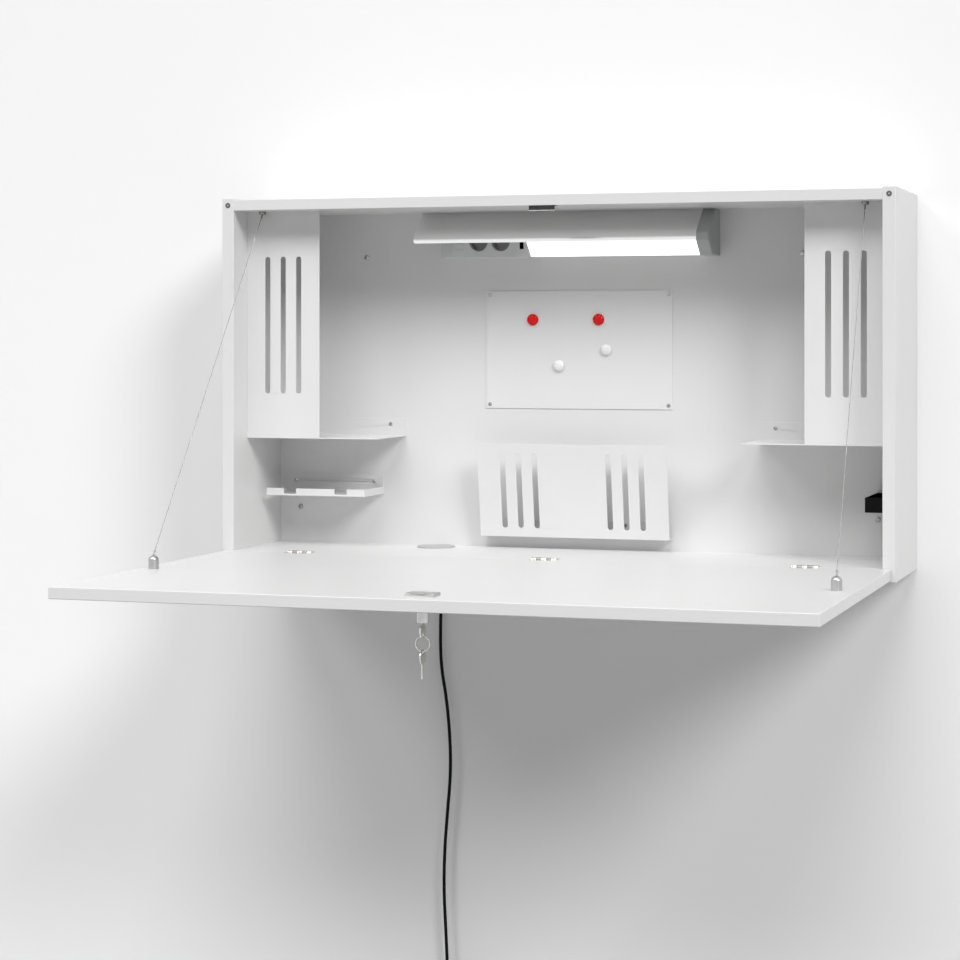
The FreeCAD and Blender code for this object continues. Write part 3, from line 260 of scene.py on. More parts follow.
def plated(name, light, dark, clean, dull, depth=0.00001):
    """Plated or bare metal with fine brush lines."""
    return Finish(name, Metallic=1.0).tone(light, dark, 60).gloss(clean, dull, 90).lines(
        (60, 60, 900), depth)


def nickel():
    return plated("nickel plate", (0.66, 0.64, 0.60), (0.57, 0.55, 0.515), 0.16, 0.28)


def painted_shade_nickel():
    """Duller nickel, darkened below the other nickel and with darker reflections, which paints the
    shade on the cabinet's hinge leaves and the stay anchors.
    """
    return Finish("nickel with painted shade", Metallic=1.0, Specular_Tint=(0.36, 0.34, 0.31, 1)).tone(
        (0.34, 0.33, 0.305), (0.27, 0.26, 0.24), 60).gloss(0.4, 0.52, 90).lines(
        (900, 60, 60), 0.00001)


def chrome():
    return plated("chrome", (0.50, 0.50, 0.505), (0.43, 0.43, 0.435), 0.07, 0.12, depth=0.000002)


def zinc():
    return plated("zinc plate", (0.50, 0.50, 0.49), (0.40, 0.40, 0.39), 0.26, 0.4)


def dark_zinc_and_shade():
    """Passivated zinc of the strike plate, near black: partly its own dark tone, partly painted
    shade under the top panel's front edge.
    """
    return plated("dark zinc and painted shade", (0.052, 0.052, 0.051), (0.040, 0.040, 0.0395), 0.34, 0.46)


def wire_steel():
    return plated("wire steel", (0.31, 0.31, 0.31), (0.23, 0.23, 0.23), 0.36, 0.48)


def screw_steel():
    """Bright steel of the small screws, a little dulled."""
    return plated("screw steel", (0.47, 0.465, 0.45), (0.38, 0.375, 0.36), 0.22, 0.34)


def satin_nickel():
    """Pale brushed plate of the lock's case and cover."""
    return plated("satin nickel", (0.62, 0.615, 0.60), (0.54, 0.535, 0.52), 0.42, 0.5)


def moulded(name, light, dark, clean, dull, shine=0.5):
    """Moulded plastic with a fine spark-eroded texture."""
    return Finish(name, Specular_IOR_Level=shine).tone(light, dark, 25).gloss(
        clean, dull, 40).grain(900, 0.00002)


def glossy_plastic(name, light, dark, coat, shine):
    return Finish(name, Coat_Weight=coat, Coat_Roughness=0.04, Specular_IOR_Level=shine).tone(
        light, dark, 30).gloss(0.14, 0.24, 60).grain(300, 0.000003)


def opal_strip():
    """The lit opal strip, which gives an even, slightly warm white light."""
    finish = Finish("opal strip", Roughness=0.35)
    finish.tone((0.95, 0.95, 0.95), (0.92, 0.92, 0.92), 8.0)
    finish.shader.inputs["Emission Color"].default_value = (1.0, 0.995, 0.98, 1)
    finish.shader.inputs["Emission Strength"].default_value = 1.15
    return finish.lines((8, 1200, 1200), 0.00001)


def black_lead():
    """Soft black sheath with a dull skin."""
    return Finish("black lead", Specular_IOR_Level=0.06).tone(
        (0.004, 0.004, 0.0045), (0.007, 0.007, 0.007), 60).gloss(0.5, 0.62, 70).grain(1500, 0.00001)


def beech():
    return Finish("beech").tone((0.62, 0.43, 0.26), (0.50, 0.33, 0.19), 60).gloss(
        0.5, 0.65, 50).lines((40, 900, 900), 0.00004)


WHITE_BOARD = white_melamine()
BACKING = backing_melamine()
POWDER_COAT = white_powder_coat()
NICKEL = nickel()
CHROME = chrome()
ZINC = zinc()
LEAD_BLACK = black_lead()
DARK_ZINC_AND_SHADE = dark_zinc_and_shade()
PAINTED_SHADE_NICKEL = painted_shade_nickel()
SCREW_STEEL = screw_steel()
SATIN_NICKEL = satin_nickel()
GREY_PLASTIC = moulded("grey plastic", (0.42, 0.425, 0.43), (0.395, 0.40, 0.405), 0.36, 0.5)
MODULE_PLASTIC = moulded("pale grey plastic", (0.68, 0.685, 0.69), (0.64, 0.645, 0.65), 0.36, 0.5)
WELL_PLASTIC = moulded("dark grey plastic", (0.40, 0.402, 0.406), (0.35, 0.352, 0.355), 0.3, 0.42)
BLACK_PLASTIC = moulded("black plastic", (0.004, 0.004, 0.0042), (0.007, 0.007, 0.0072), 0.5, 0.62,
                        shine=0.05)
RUBBER = moulded("grey rubber", (0.10, 0.10, 0.10), (0.075, 0.075, 0.075), 0.6, 0.75)

FINISHES = {
    "white_board": WHITE_BOARD,
    "backing": BACKING,
    "beech": beech(),
    "white_steel": POWDER_COAT,
    "board_steel": white_enamel(),
    "nickel": NICKEL,
    "zinc": ZINC,
    "chrome": CHROME,
    "steel_wire": wire_steel(),
    "lamp_metal": visor_metal(),
    "opal": opal_strip(),
    "grey_plastic": GREY_PLASTIC,
    "dark_plastic": BLACK_PLASTIC,
    "socket_plastic": WELL_PLASTIC,
    "red_plastic": glossy_plastic("red cap", (0.78, 0.001, 0.001), (0.70, 0.001, 0.001),
                                  0.14, 0.16),
    "white_plastic": glossy_plastic("white cap", (0.84, 0.84, 0.84), (0.82, 0.82, 0.82), 0.4, 0.4),
    "cord_black": LEAD_BLACK,
    "buffer_rubber": RUBBER,
}
SIDES = ("left", "middle", "right")
# The nodes whose finish isn't the usual one of their slot.
NODE_FINISHES = {
    # The strike plate's near-black zinc is partly painted shade under the top panel's front edge.
    "lock_case": SATIN_NICKEL, "lock_cylinder": CHROME, "strike_plate": DARK_ZINC_AND_SHADE,
    "socket_module": MODULE_PLASTIC, "rocker_switch": MODULE_PLASTIC,
    # The stay anchors and the cabinet's hinge leaves take the darkened nickel, which paints the
    # shade that falls on them.
    "lamp_end_cap_left": MODULE_PLASTIC, "stay_anchors": PAINTED_SHADE_NICKEL,
    **{"hinge_leaf_cabinet_" + side: PAINTED_SHADE_NICKEL for side in SIDES},
}


def dress_nodes():
    """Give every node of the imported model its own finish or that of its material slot."""
    for part in frame["record"]["subparts"]:
        obj = nodes[part["node"]]
        obj.data.materials.clear()
        obj.data.materials.append(NODE_FINISHES.get(part["node"], FINISHES[part["material_slot"]]))


# ---- mesh helpers -------------------------------------------------------------------------------

def new_object(name, data):
    """An object of the scene, with this mesh, curve, light or camera."""
    obj = bpy.data.objects.new(name, data)
    bpy.context.scene.collection.objects.link(obj)
    return obj


def place_piece(name, mesh, finish, body, slot_name, *replaced):
    """Make a mesh a piece: its finish, the body it rides on and the nodes it stands for."""
    piece = new_object(name, mesh)
    mesh.materials.clear()
    mesh.materials.append(finish)
    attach(piece, body)
    if replaced:
        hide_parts(*replaced)
    return piece


def smooth(mesh, below=SMOOTH_BELOW):
    """Shade a mesh smooth, creased where its faces meet at more than this many degrees."""
    mesh.shade_smooth()
    mesh.set_sharp_from_angle(angle=math.radians(below))
    return mesh


def to_mesh(bm, name):
    """Close a bmesh into a smooth mesh whose normals point out."""
    bmesh.ops.remove_doubles(bm, verts=bm.verts, dist=WELD_GAP)
    bmesh.ops.recalc_face_normals(bm, faces=bm.faces)
    mesh = bpy.data.meshes.new(name)
    bm.to_mesh(mesh)
    bm.free()
    return smooth(mesh)


def lathe(bm, profile, turn=Matrix(), steps=32):
    """Spin a profile of (radius, height) points about +Z, then move it by turn."""
    points = [bm.verts.new((radius, 0, height)) for radius, height in profile]
    edges = [bm.edges.new(pair) for pair in zip(points, points[1:])]
    made = bmesh.ops.spin(bm, geom=points + edges, cent=(0, 0, 0), axis=(0, 0, 1), steps=steps,
                          angle=2 * math.pi, use_duplicate=False)
    touched = {vert for item in made["geom_last"] for vert in getattr(item, "verts", [item])}
    verts = set(points) | touched
    grown = True
    while grown:
        linked = {other for vert in verts for edge in vert.link_edges for other in edge.verts}
        grown = not linked <= verts
        verts |= linked
    bmesh.ops.transform(bm, matrix=turn, verts=list(verts))


def block(bm, low, high, turn=Matrix()):
    """A box between two corners; returns its points."""
    made = bmesh.ops.create_cube(bm, size=1.0)
    middle = (Vector(low) + Vector(high)) / 2
    span = Vector(high) - Vector(low)
    stand = turn @ Matrix.Translation(middle) @ Matrix.Diagonal((*span, 1))
    bmesh.ops.transform(bm, matrix=stand, verts=made["verts"])
    return made["verts"]


def evaluated(obj):
    """The object's mesh with its modifiers applied; the object itself is removed."""
    bpy.context.view_layer.update()
    graph = bpy.context.evaluated_depsgraph_get()
    mesh = bpy.data.meshes.new_from_object(obj.evaluated_get(graph))
    bpy.data.objects.remove(obj)
    return mesh


def break_edges(obj, width, angle):
    """Round an object's edges that turn by more than this many degrees."""
    bevel = obj.modifiers.new("broken edges", "BEVEL")
    bevel.width = width
    bevel.segments = 2
    bevel.limit_method = "ANGLE"
    bevel.angle_limit = math.radians(angle)


def rounded(mesh, width):
    """A copy of a mesh with its sharp edges rounded."""
    obj = new_object("rounding", mesh)
    break_edges(obj, width, 40)
    return smooth(evaluated(obj))


# ---- node trees for what repeats or winds -------------------------------------------------------

def geometry_tree(name, inputs):
    """A geometry node tree with named inputs; returns the tree, its input and its output node."""
    tree = bpy.data.node_groups.new(name, "GeometryNodeTree")
    for label, kind in inputs:
        tree.interface.new_socket(label, in_out="INPUT", socket_type="NodeSocket" + kind)
    tree.interface.new_socket("Geometry", in_out="OUTPUT", socket_type="NodeSocketGeometry")
    return tree, tree.nodes.new("NodeGroupInput"), tree.nodes.new("NodeGroupOutput")


def finish_tree(tree, geometry, metal, result):
    """End a tree in Realize Instances and Set Material."""
    realize = tree.nodes.new("GeometryNodeRealizeInstances")
    paint = tree.nodes.new("GeometryNodeSetMaterial")
    tree.links.new(geometry, realize.inputs["Geometry"])
    tree.links.new(realize.outputs["Geometry"], paint.inputs["Geometry"])
    tree.links.new(metal, paint.inputs["Material"])
    tree.links.new(paint.outputs["Geometry"], result.inputs["Geometry"])


def run_tree(name, tree, mesh, values):
    """Run a tree on a mesh with these inputs and return the plain mesh it makes."""
    obj = new_object(name, mesh)
    modifier = obj.modifiers.new(name, "NODES")
    modifier.node_group = tree
    for item in tree.interface.items_tree:
        if item.in_out == "INPUT" and item.name in values:
            modifier[item.identifier] = values[item.name]
    return evaluated(obj)


def screws_at_points():
    """One screw at every point, all turned the same way."""
    tree, given, result = geometry_tree("Screws at points", [
        ("Points", "Geometry"), ("Screw", "Object"), ("Turn", "Vector"), ("Metal", "Material")])
    screw = tree.nodes.new("GeometryNodeObjectInfo")
    spots = tree.nodes.new("GeometryNodeMeshToPoints")
    copies = tree.nodes.new("GeometryNodeInstanceOnPoints")
    tree.links.new(given.outputs["Screw"], screw.inputs["Object"])
    tree.links.new(given.outputs["Points"], spots.inputs["Mesh"])
    tree.links.new(spots.outputs["Points"], copies.inputs["Points"])
    tree.links.new(screw.outputs["Geometry"], copies.inputs["Instance"])
    tree.links.new(given.outputs["Turn"], copies.inputs["Rotation"])
    finish_tree(tree, copies.outputs["Instances"], given.outputs["Metal"], result)
    return tree


def wound_wire(tree, radius, rise, turns, thickness, bends, sides):
    """A round wire along a helix, as a mesh socket.

    Thickness is the wire's own radius, bends the number of steps in a turn.
    """
    helix = tree.nodes.new("GeometryNodeCurveSpiral")
    helix.inputs["Resolution"].default_value = bends
    for end in ("Start Radius", "End Radius"):
        tree.links.new(radius, helix.inputs[end])
    tree.links.new(rise, helix.inputs["Height"])
    tree.links.new(turns, helix.inputs["Rotations"])
    section = tree.nodes.new("GeometryNodeCurvePrimitiveCircle")
    section.inputs["Resolution"].default_value = sides
    tree.links.new(thickness, section.inputs["Radius"])
    wire = tree.nodes.new("GeometryNodeCurveToMesh")
    wire.inputs["Fill Caps"].default_value = True
    tree.links.new(helix.outputs["Curve"], wire.inputs["Curve"])
    tree.links.new(section.outputs["Curve"], wire.inputs["Profile Curve"])
    return wire.outputs["Mesh"]


# The path and the size of a strand, as shares of the rope's radius.
STRAND_PATH, STRAND_SIZE = 0.6, 0.4


def wire_rope():
    """Strands wound round one another; length, radius, turns and count are its inputs."""
    tree, given, result = geometry_tree("Wire rope", [
        ("Length", "Float"), ("Radius", "Float"), ("Turns", "Float"), ("Strands", "Int"),
        ("Metal", "Material")])
    radius = given.outputs["Radius"]
    path = reckon(tree, "MULTIPLY", radius, STRAND_PATH)
    thickness = reckon(tree, "MULTIPLY", radius, STRAND_SIZE)
    strand = wound_wire(tree, path, given.outputs["Length"], given.outputs["Turns"], thickness,
                        bends=12, sides=5)
    spots = tree.nodes.new("GeometryNodePoints")
    tree.links.new(given.outputs["Strands"], spots.inputs["Count"])
    index = tree.nodes.new("GeometryNodeInputIndex")
    share = reckon(tree, "DIVIDE", index.outputs["Index"], given.outputs["Strands"])
    turn = tree.nodes.new("ShaderNodeCombineXYZ")
    tree.links.new(reckon(tree, "MULTIPLY", share, 2 * math.pi), turn.inputs["Z"])
    copies = tree.nodes.new("GeometryNodeInstanceOnPoints")
    tree.links.new(spots.outputs[0], copies.inputs["Points"])
    tree.links.new(strand, copies.inputs["Instance"])
    tree.links.new(turn.outputs["Vector"], copies.inputs["Rotation"])
    finish_tree(tree, copies.outputs["Instances"], given.outputs["Metal"], result)
    return tree


def split_ring():
    """A round wire wound into a ring, which rises by its own thickness."""
    tree, given, result = geometry_tree("Split ring", [
        ("Radius", "Float"), ("Wire", "Float"), ("Turns", "Float"), ("Metal", "Material")])
    wire = given.outputs["Wire"]
    ring = wound_wire(tree, given.outputs["Radius"], wire, given.outputs["Turns"],
                      reckon(tree, "MULTIPLY", wire, 0.5), bends=48, sides=10)
    finish_tree(tree, ring, given.outputs["Metal"], result)
    return tree


# ---- screws -------------------------------------------------------------------------------------

# How much longer than wide an arm of the cross is, and how far it narrows towards its foot.
RECESS_SLIMNESS, RECESS_TAPER = 3.4, 0.45


def cross_recess(mesh, width, depth, top):
    """Sink a cross recess into the head of a screw whose top is at height top."""
    bm = bmesh.new()
    for turn in (0, 90):
        spin = Matrix.Rotation(math.radians(turn), 4, "Z")
        arm = width / RECESS_SLIMNESS
        for vert in block(bm, (-width, -arm, top - depth), (width, arm, top + depth), spin):
            if vert.co.z < top:
                vert.co.x *= RECESS_TAPER
                vert.co.y *= RECESS_TAPER
    cutter = new_object("cutter", to_mesh(bm, "cutter"))
    obj = new_object("head", mesh)
    sink = obj.modifiers.new("recess", "BOOLEAN")
    sink.operation = "DIFFERENCE"
    sink.solver = "EXACT"
    sink.use_self = True
    sink.object = cutter
    finished = evaluated(obj)
    bpy.data.objects.remove(cutter)
    return smooth(finished, 30)


def pan_screw(radius, height, shank, length):
    """A pan head over a plain shank; z = 0 is the face that it is driven against."""
    bm = bmesh.new()
    lathe(bm, [(0, height), (radius * 0.5, height * 0.97), (radius * 0.82, height * 0.8),
               (radius * 0.97, height * 0.45), (radius, height * 0.12), (radius * 0.97, 0),
               (shank, 0), (shank, -length * 0.85), (0, -length)], steps=24)
    return cross_recess(to_mesh(bm, "pan screw"), radius * 0.66, height * 0.85, height)


def flat_screw(radius, sink, shank, length):
    """A countersunk head, flush at z = 0."""
    bm = bmesh.new()
    lathe(bm, [(0, 0), (radius * 0.94, 0), (radius, -0.1 * sink), (shank, -sink),
               (shank, -length * 0.85), (0, -length)], steps=24)
    return cross_recess(to_mesh(bm, "flat screw"), radius * 0.6, sink * 0.6, 0)


SCREW_TREE = screws_at_points()


def screw_set(name, screw_mesh, places, turn, finish, body, slot_name, *replaced):
    """Identical screws at these places, as one piece."""
    sample = new_object(name + "_sample", screw_mesh)
    spots = bpy.data.meshes.new(name + "_spots")
    spots.from_pydata([tuple(place) for place in places], [], [])
    mesh = run_tree(name, SCREW_TREE, spots, {"Screw": sample, "Turn": turn, "Metal": finish})
    bpy.data.objects.remove(sample)
    return place_piece(name, mesh, finish, body, slot_name, *replaced)


OUT_OF_PANEL = (math.radians(90), 0, 0)
FLAT_ON = (0, 0, 0)
# The radius of the head, its height or sink, the radius of the shank and the length.
SMALL_SCREW = (3.5 * MM, 1.6 * MM, 1.95 * MM, 9.6 * MM)
WALL_SCREW = (4.9 * MM, 3.0 * MM, 2.9 * MM, 34 * MM)
LEAF_SCREW = (3 * MM, 2 * MM, 1.2 * MM, 13.8 * MM)
SHEET = 1.5 * MM
BOARD_SCREW_INSET = 7 * MM
POCKET_SCREW_IN, POCKET_SCREW_UP = 29.5 * MM, 22 * MM
HOLDER_SCREW_UP = 23 * MM
TRAY_SCREW_IN, TRAY_SCREW_UP = 18 * MM, 23 * MM
# Each pair of wall screws: how far from the middle, and how high.
WALL_SCREWS = ((406 * MM, 0), (537.5 * MM, -460 * MM))
# From the middle of a hinge leaf, and from the hinge's axis.
LEAF_SCREW_ALONG, LEAF_SCREW_ACROSS = 14.5 * MM, 12.5 * MM


def corners_in(low, high, inset):
    """The four corners of a board that faces the room, moved inwards, as x and z."""
    return [(x, z) for x in (low.x + inset, high.x - inset)
            for z in (low.z + inset, high.z - inset)]


def bracket_screws():
    """Pan-head screws of the board, the brackets and the wall."""
    low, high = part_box("magnet_board")
    places = [(x, low.y, z) for x, z in corners_in(low, high, BOARD_SCREW_INSET)]
    screw_set("board_screw_heads", pan_screw(*SMALL_SCREW), places, OUT_OF_PANEL, SCREW_STEEL,
              "cabinet", "nickel", "board_screws")
    face = PANEL_Y - SHEET
    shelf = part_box("pocket_left")
    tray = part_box("hook_tray")
    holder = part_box("document_holder")
    places = []
    for sign in (-1, 1):
        places.append((sign * (-shelf[1].x + POCKET_SCREW_IN), face, shelf[0].z + POCKET_SCREW_UP))
        places.append((sign * (holder[1].x / 2), face, holder[0].z + HOLDER_SCREW_UP))
    for x in (tray[0].x + TRAY_SCREW_IN, tray[1].x - TRAY_SCREW_IN):
        places.append((x, face, tray[0].z + TRAY_SCREW_UP))
    screw_set("bracket_screw_heads", pan_screw(*SMALL_SCREW), places, OUT_OF_PANEL, SCREW_STEEL,
              "cabinet", "nickel", "bracket_screws")
    places = [(sign * x, PANEL_Y, z) for x, z in WALL_SCREWS for sign in (-1, 1)]
    screw_set("wall_screw_heads", pan_screw(*WALL_SCREW), places, OUT_OF_PANEL, ZINC, "cabinet",
              "zinc")


def hinge_screws():
    """Countersunk screws in the hinge leaves, with their cross recesses."""
    for way, body in ((1, "cabinet"), (-1, "flap")):
        node_name = body + "_leaf_screws"
        places = []
        for side in SIDES:
            low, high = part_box("hinge_leaf_cabinet_" + side)
            middle = (low.x + high.x) / 2
            for step in (-LEAF_SCREW_ALONG, LEAF_SCREW_ALONG):
                places.append((middle + step, HINGE_Y + way * LEAF_SCREW_ACROSS, FLOOR_Z))
        screw_set(node_name + "_heads", flat_screw(*LEAF_SCREW), places, FLAT_ON, NICKEL, body,
                  "nickel", node_name)


# ---- softened edges ------------------------------------------------------------------------------

EDGE_WIDTHS = {
    0.9 * MM: ("side_panel_left", "side_panel_right", "top_panel", "bottom_panel", "flap_board"),
    0.35 * MM: ("pocket_left", "pocket_right", "hook_tray", "document_holder",
                *("hinge_leaf_cabinet_" + side for side in SIDES),
                *("hinge_leaf_flap_" + side for side in SIDES),
                "key_in_lock", "spare_key", "stay_anchors", "lock_cylinder"),
    0.6 * MM: ("pen_tray", "socket_module", "rocker_switch", "lamp_end_cap_left", "lock_case"),
}


def soften_edges():
    """Break the sharp edges of boards, sheets and castings, so that they catch the light."""
    for width, names in EDGE_WIDTHS.items():
        for name in names:
            weld = nodes[name].modifiers.new("joined corners", "WELD")
            weld.merge_threshold = WELD_GAP
            break_edges(nodes[name], width, 50)


# ---- magnets, lock and strike --------------------------------------------------------------------

# Where the dome of a cap starts, as a share of its height, and its number of steps.
DOME_FOOT, DOME_STEPS = 0.16, 9
# The steel cup's width and height, as shares of the cap's.
CUP_WIDTH, CUP_RISE = 0.9, 0.1


def magnet_cap(colour, place):
    """A domed cap over a steel cup, standing out from the board."""
    node_name = colour + "_magnet_" + place
    body = "magnet_" + colour + "_" + place
    slot_name = colour + "_plastic"
    low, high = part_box(node_name)
    radius = (high.x - low.x) / 2
    rise = high.y - low.y
    stand = Matrix.Translation(((low.x + high.x) / 2, high.y, (low.z + high.z) / 2)) @ FACE_OUT
    bm = bmesh.new()
    dome = [(0, rise * 0.06), (radius * 0.93, rise * 0.06), (radius * 0.99, rise * 0.1),
            (radius, rise * DOME_FOOT)]
    for step in range(1, DOME_STEPS + 1):
        angle = math.pi / 2 * step / DOME_STEPS
        dome.append((radius * math.cos(angle),
                     rise * (DOME_FOOT + (1 - DOME_FOOT) * math.sin(angle))))
    lathe(bm, dome, stand, 48)
    place_piece(node_name + "_cap", to_mesh(bm, node_name + "_cap"), FINISHES[slot_name], body,
                slot_name, node_name)
    bm = bmesh.new()
    rim, top = radius * CUP_WIDTH, rise * CUP_RISE
    lathe(bm, [(0, 0), (rim, 0), (rim, top), (0, top)], stand, 48)
    place_piece(node_name + "_cup", to_mesh(bm, node_name + "_cup"), NICKEL, body, "nickel")


COVER_MARGIN, COVER_THICK, COVER_ROUND = 0.4 * MM, 0.5 * MM, 0.2 * MM


def lock_cover():
    """A satin plate that closes the top of the lock's case."""
    low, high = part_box("lock_case")
    bm = bmesh.new()
    block(bm, (low.x + COVER_MARGIN, low.y + COVER_MARGIN, high.z),
          (high.x - COVER_MARGIN, high.y - COVER_MARGIN, high.z + COVER_THICK))
    plate = rounded(to_mesh(bm, "lock_cover"), COVER_ROUND)
    place_piece("lock_cover", plate, SATIN_NICKEL, "flap", "nickel")


# The hem is so thin and so placed that it leaves the thrown bolt and the closed flap free.
HEM_RADIUS, HEM_ROUND, HEM_OVERHANG, HEM_IN = 0.8 * MM, 0.2 * MM, 1 * MM, 0.1 * MM


def strike_hem():
    """The rolled lower edge of the strike plate, in steel much brighter than the plate, which
    paints the highlight along that edge.
    """
    low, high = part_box("strike_plate")
    bm = bmesh.new()
    stand = Matrix.Translation((low.x - HEM_OVERHANG, low.y + HEM_IN, low.z)) @ Matrix.Rotation(
        math.radians(90), 4, "Y")
    run = high.x - low.x + 2 * HEM_OVERHANG
    end = HEM_RADIUS - HEM_ROUND
    lathe(bm, [(0, 0), (end, 0), (HEM_RADIUS, HEM_ROUND), (HEM_RADIUS, run - HEM_ROUND), (end, run),
               (0, run)], stand, 20)
    # The hem's bright steel, far lighter than its plate, is a painted highlight along the plate's
    # lower edge.
    place_piece("strike_hem", to_mesh(bm, "strike_hem"), SCREW_STEEL, "cabinet", "nickel")


# ---- charging port and buffers -------------------------------------------------------------------

PORT_X, PORT_Z = -88.7 * MM, 16.7 * MM
PORT_WIDTH, PORT_HEIGHT, PORT_DEPTH = 7.5 * MM, 12.5 * MM, 13.4 * MM
PORT_SETBACK = 3.2 * MM
PORT_WALL = 0.4 * MM
TONGUE_HALF, TONGUE_BACK, TONGUE_SHORT = 0.9 * MM, 1.2 * MM, 1.6 * MM


def charging_port():
    """The black liner of the charging port, with its tongue."""
    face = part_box("socket_module")[0].y
    left, right = PORT_X - PORT_WIDTH / 2, PORT_X + PORT_WIDTH / 2
    foot, head = PORT_Z - PORT_HEIGHT / 2, PORT_Z + PORT_HEIGHT / 2
    front, back = face + PORT_SETBACK, face + PORT_DEPTH
    bm = bmesh.new()
    block(bm, (left, front, foot), (left + PORT_WALL, back, head))
    block(bm, (right - PORT_WALL, front, foot), (right, back, head))
    block(bm, (left, front, head - PORT_WALL), (right, back, head))
    block(bm, (left, front, foot), (right, back, foot + PORT_WALL))
    block(bm, (left, back - PORT_WALL, foot), (right, back, head))
    block(bm, (PORT_X - TONGUE_HALF, front + TONGUE_BACK, foot + TONGUE_SHORT),
          (PORT_X + TONGUE_HALF, back, head - TONGUE_SHORT))
    place_piece("charging_port_liner", to_mesh(bm, "charging_port_liner"), BLACK_PLASTIC,
                "cabinet", "dark_plastic")


def buffer_centres():
    """The rivets that hold the two buffers, with crowns so low that the closed flap clears them."""
    low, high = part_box("edge_buffers")
    radius = (high.z - low.z) / 2
    bm = bmesh.new()
    for x in (low.x + radius, high.x - radius):
        stand = Matrix.Translation((x, low.y, (low.z + high.z) / 2)) @ FACE_OUT
        lathe(bm, [(0, 0.15 * MM), (radius * 0.22, 0.13 * MM), (radius * 0.34, 0.05 * MM),
                   (radius * 0.34, -0.6 * MM), (0, -0.6 * MM)], stand, 24)
    place_piece("buffer_rivets", to_mesh(bm, "buffer_rivets"), SCREW_STEEL, "cabinet", "zinc")


# ---- stays --------------------------------------------------------------------------------------

ROPE_TREE = wire_rope()
ROPE_RADIUS = 0.7 * MM
ROPE_LAY = 13 * MM
ROPE_STRANDS = 6


def stay_wire(side, sign):
    """A wire rope with a crimped ferrule at each end."""
    low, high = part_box("stay_wire_" + side)
    inner = high.x if sign < 0 else low.x
    outer = low.x if sign < 0 else high.x
    bottom = Vector((outer - sign * ROPE_RADIUS, low.y, low.z + ROPE_RADIUS))
    top = Vector((inner + sign * ROPE_RADIUS, high.y - ROPE_RADIUS, high.z - ROPE_RADIUS / 2))
    run = top - bottom
    stand = Matrix.Translation(bottom) @ run.to_track_quat("Z", "Y").to_matrix().to_4x4()
    rope = run_tree("rope", ROPE_TREE, bpy.data.meshes.new("rope"), {
        "Length": run.length, "Radius": ROPE_RADIUS, "Turns": run.length / ROPE_LAY,
        "Strands": ROPE_STRANDS, "Metal": FINISHES["steel_wire"]})
    bm = bmesh.new()
    bm.from_mesh(rope)
    ferrule = [(0, 0), (1.3 * MM, 0), (1.5 * MM, 0.6 * MM), (1.5 * MM, 7 * MM),
               (1.1 * MM, 8.5 * MM), (ROPE_RADIUS * 0.8, 8.6 * MM), (0, 8.6 * MM)]
    lathe(bm, ferrule, steps=16)
    lathe(bm, [(radius, run.length - height) for radius, height in reversed(ferrule)], steps=16)
    bmesh.ops.transform(bm, matrix=stand, verts=bm.verts)
    mesh = bpy.data.meshes.new("stay_wire_" + side)
    bm.to_mesh(mesh)
    bm.free()
    wire = place_piece("stay_rope_" + side, smooth(mesh, 40), FINISHES["steel_wire"], "cabinet",
                       "steel_wire", "stay_wire_" + side)
    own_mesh(wire)


# ---- lamp lead ----------------------------------------------------------------------------------

LEAD_RADIUS = 3 * MM
# Control points of the lead in mm, from its gland down to the coil, and from the coil to the plug.
LEAD_ROUTE = (
    (-231.0, -9.5, 28.0), (-231.0, -9.5, -38.0), (-234.4, -9.2, -108.0), (-240.5, -9.8, -182.0),
    (-247.6, -9.3, -260.0), (-254.4, -9.9, -340.0), (-261.8, -9.4, -420.0), (-268.4, -9.6, -494.0),
    (-270.9, -9.3, -562.0), (-270.2, -9.9, -633.0), (-271.6, -10.6, -700.0),
    (-269.2, -11.4, -752.0), (-258.6, -12.4, -808.0), (-251.6, -13.1, -878.0),
    (-250.3, -13.4, -944.0), (-256.2, -13.2, -1010.0), (-262.3, -13.4, -1084.0),
    (-263.6, -13.7, -1160.0), (-259.4, -13.9, -1234.0), (-256.6, -14.0, -1296.0),
)
TAIL_ROUTE = ((-256.7, -20.0, -1383.0), (-256.7, -20.0, -1418.0))
COIL_CENTRE = Vector((-220.5, -14.2, -1345.0)) * MM
COIL_RADIUS = 36 * MM
COIL_TURNS = 3
COIL_STEPS = 16
STRAND_SPREAD = 4.3 * MM


def coil_points():
    """Turns of the coil, which shift round one another so that they lie side by side."""
    points = []
    for step in range(COIL_TURNS * COIL_STEPS + 1):
        turns = step / COIL_STEPS
        angle = math.pi + 2 * math.pi * turns
        shift = 2 * math.pi * turns / (COIL_TURNS + 1)
        radius = COIL_RADIUS - STRAND_SPREAD * math.sin(shift)
        points.append(COIL_CENTRE + Vector((
            radius * math.cos(angle), STRAND_SPREAD * math.cos(shift), radius * math.sin(angle))))
    return points


def lead_curve(points):
    """A smooth round lead along control points."""
    curve = bpy.data.curves.new("lamp_lead", "CURVE")
    curve.dimensions = "3D"
    spline = curve.splines.new("NURBS")
    spline.points.add(len(points) - 1)
    for knot, point in zip(spline.points, points):
        knot.co = (*point, 1)
    spline.order_u = 3
    spline.use_endpoint_u = True
    curve.resolution_u = 6
    curve.bevel_depth = LEAD_RADIUS
    curve.bevel_resolution = 4
    curve.use_fill_caps = True
    return curve


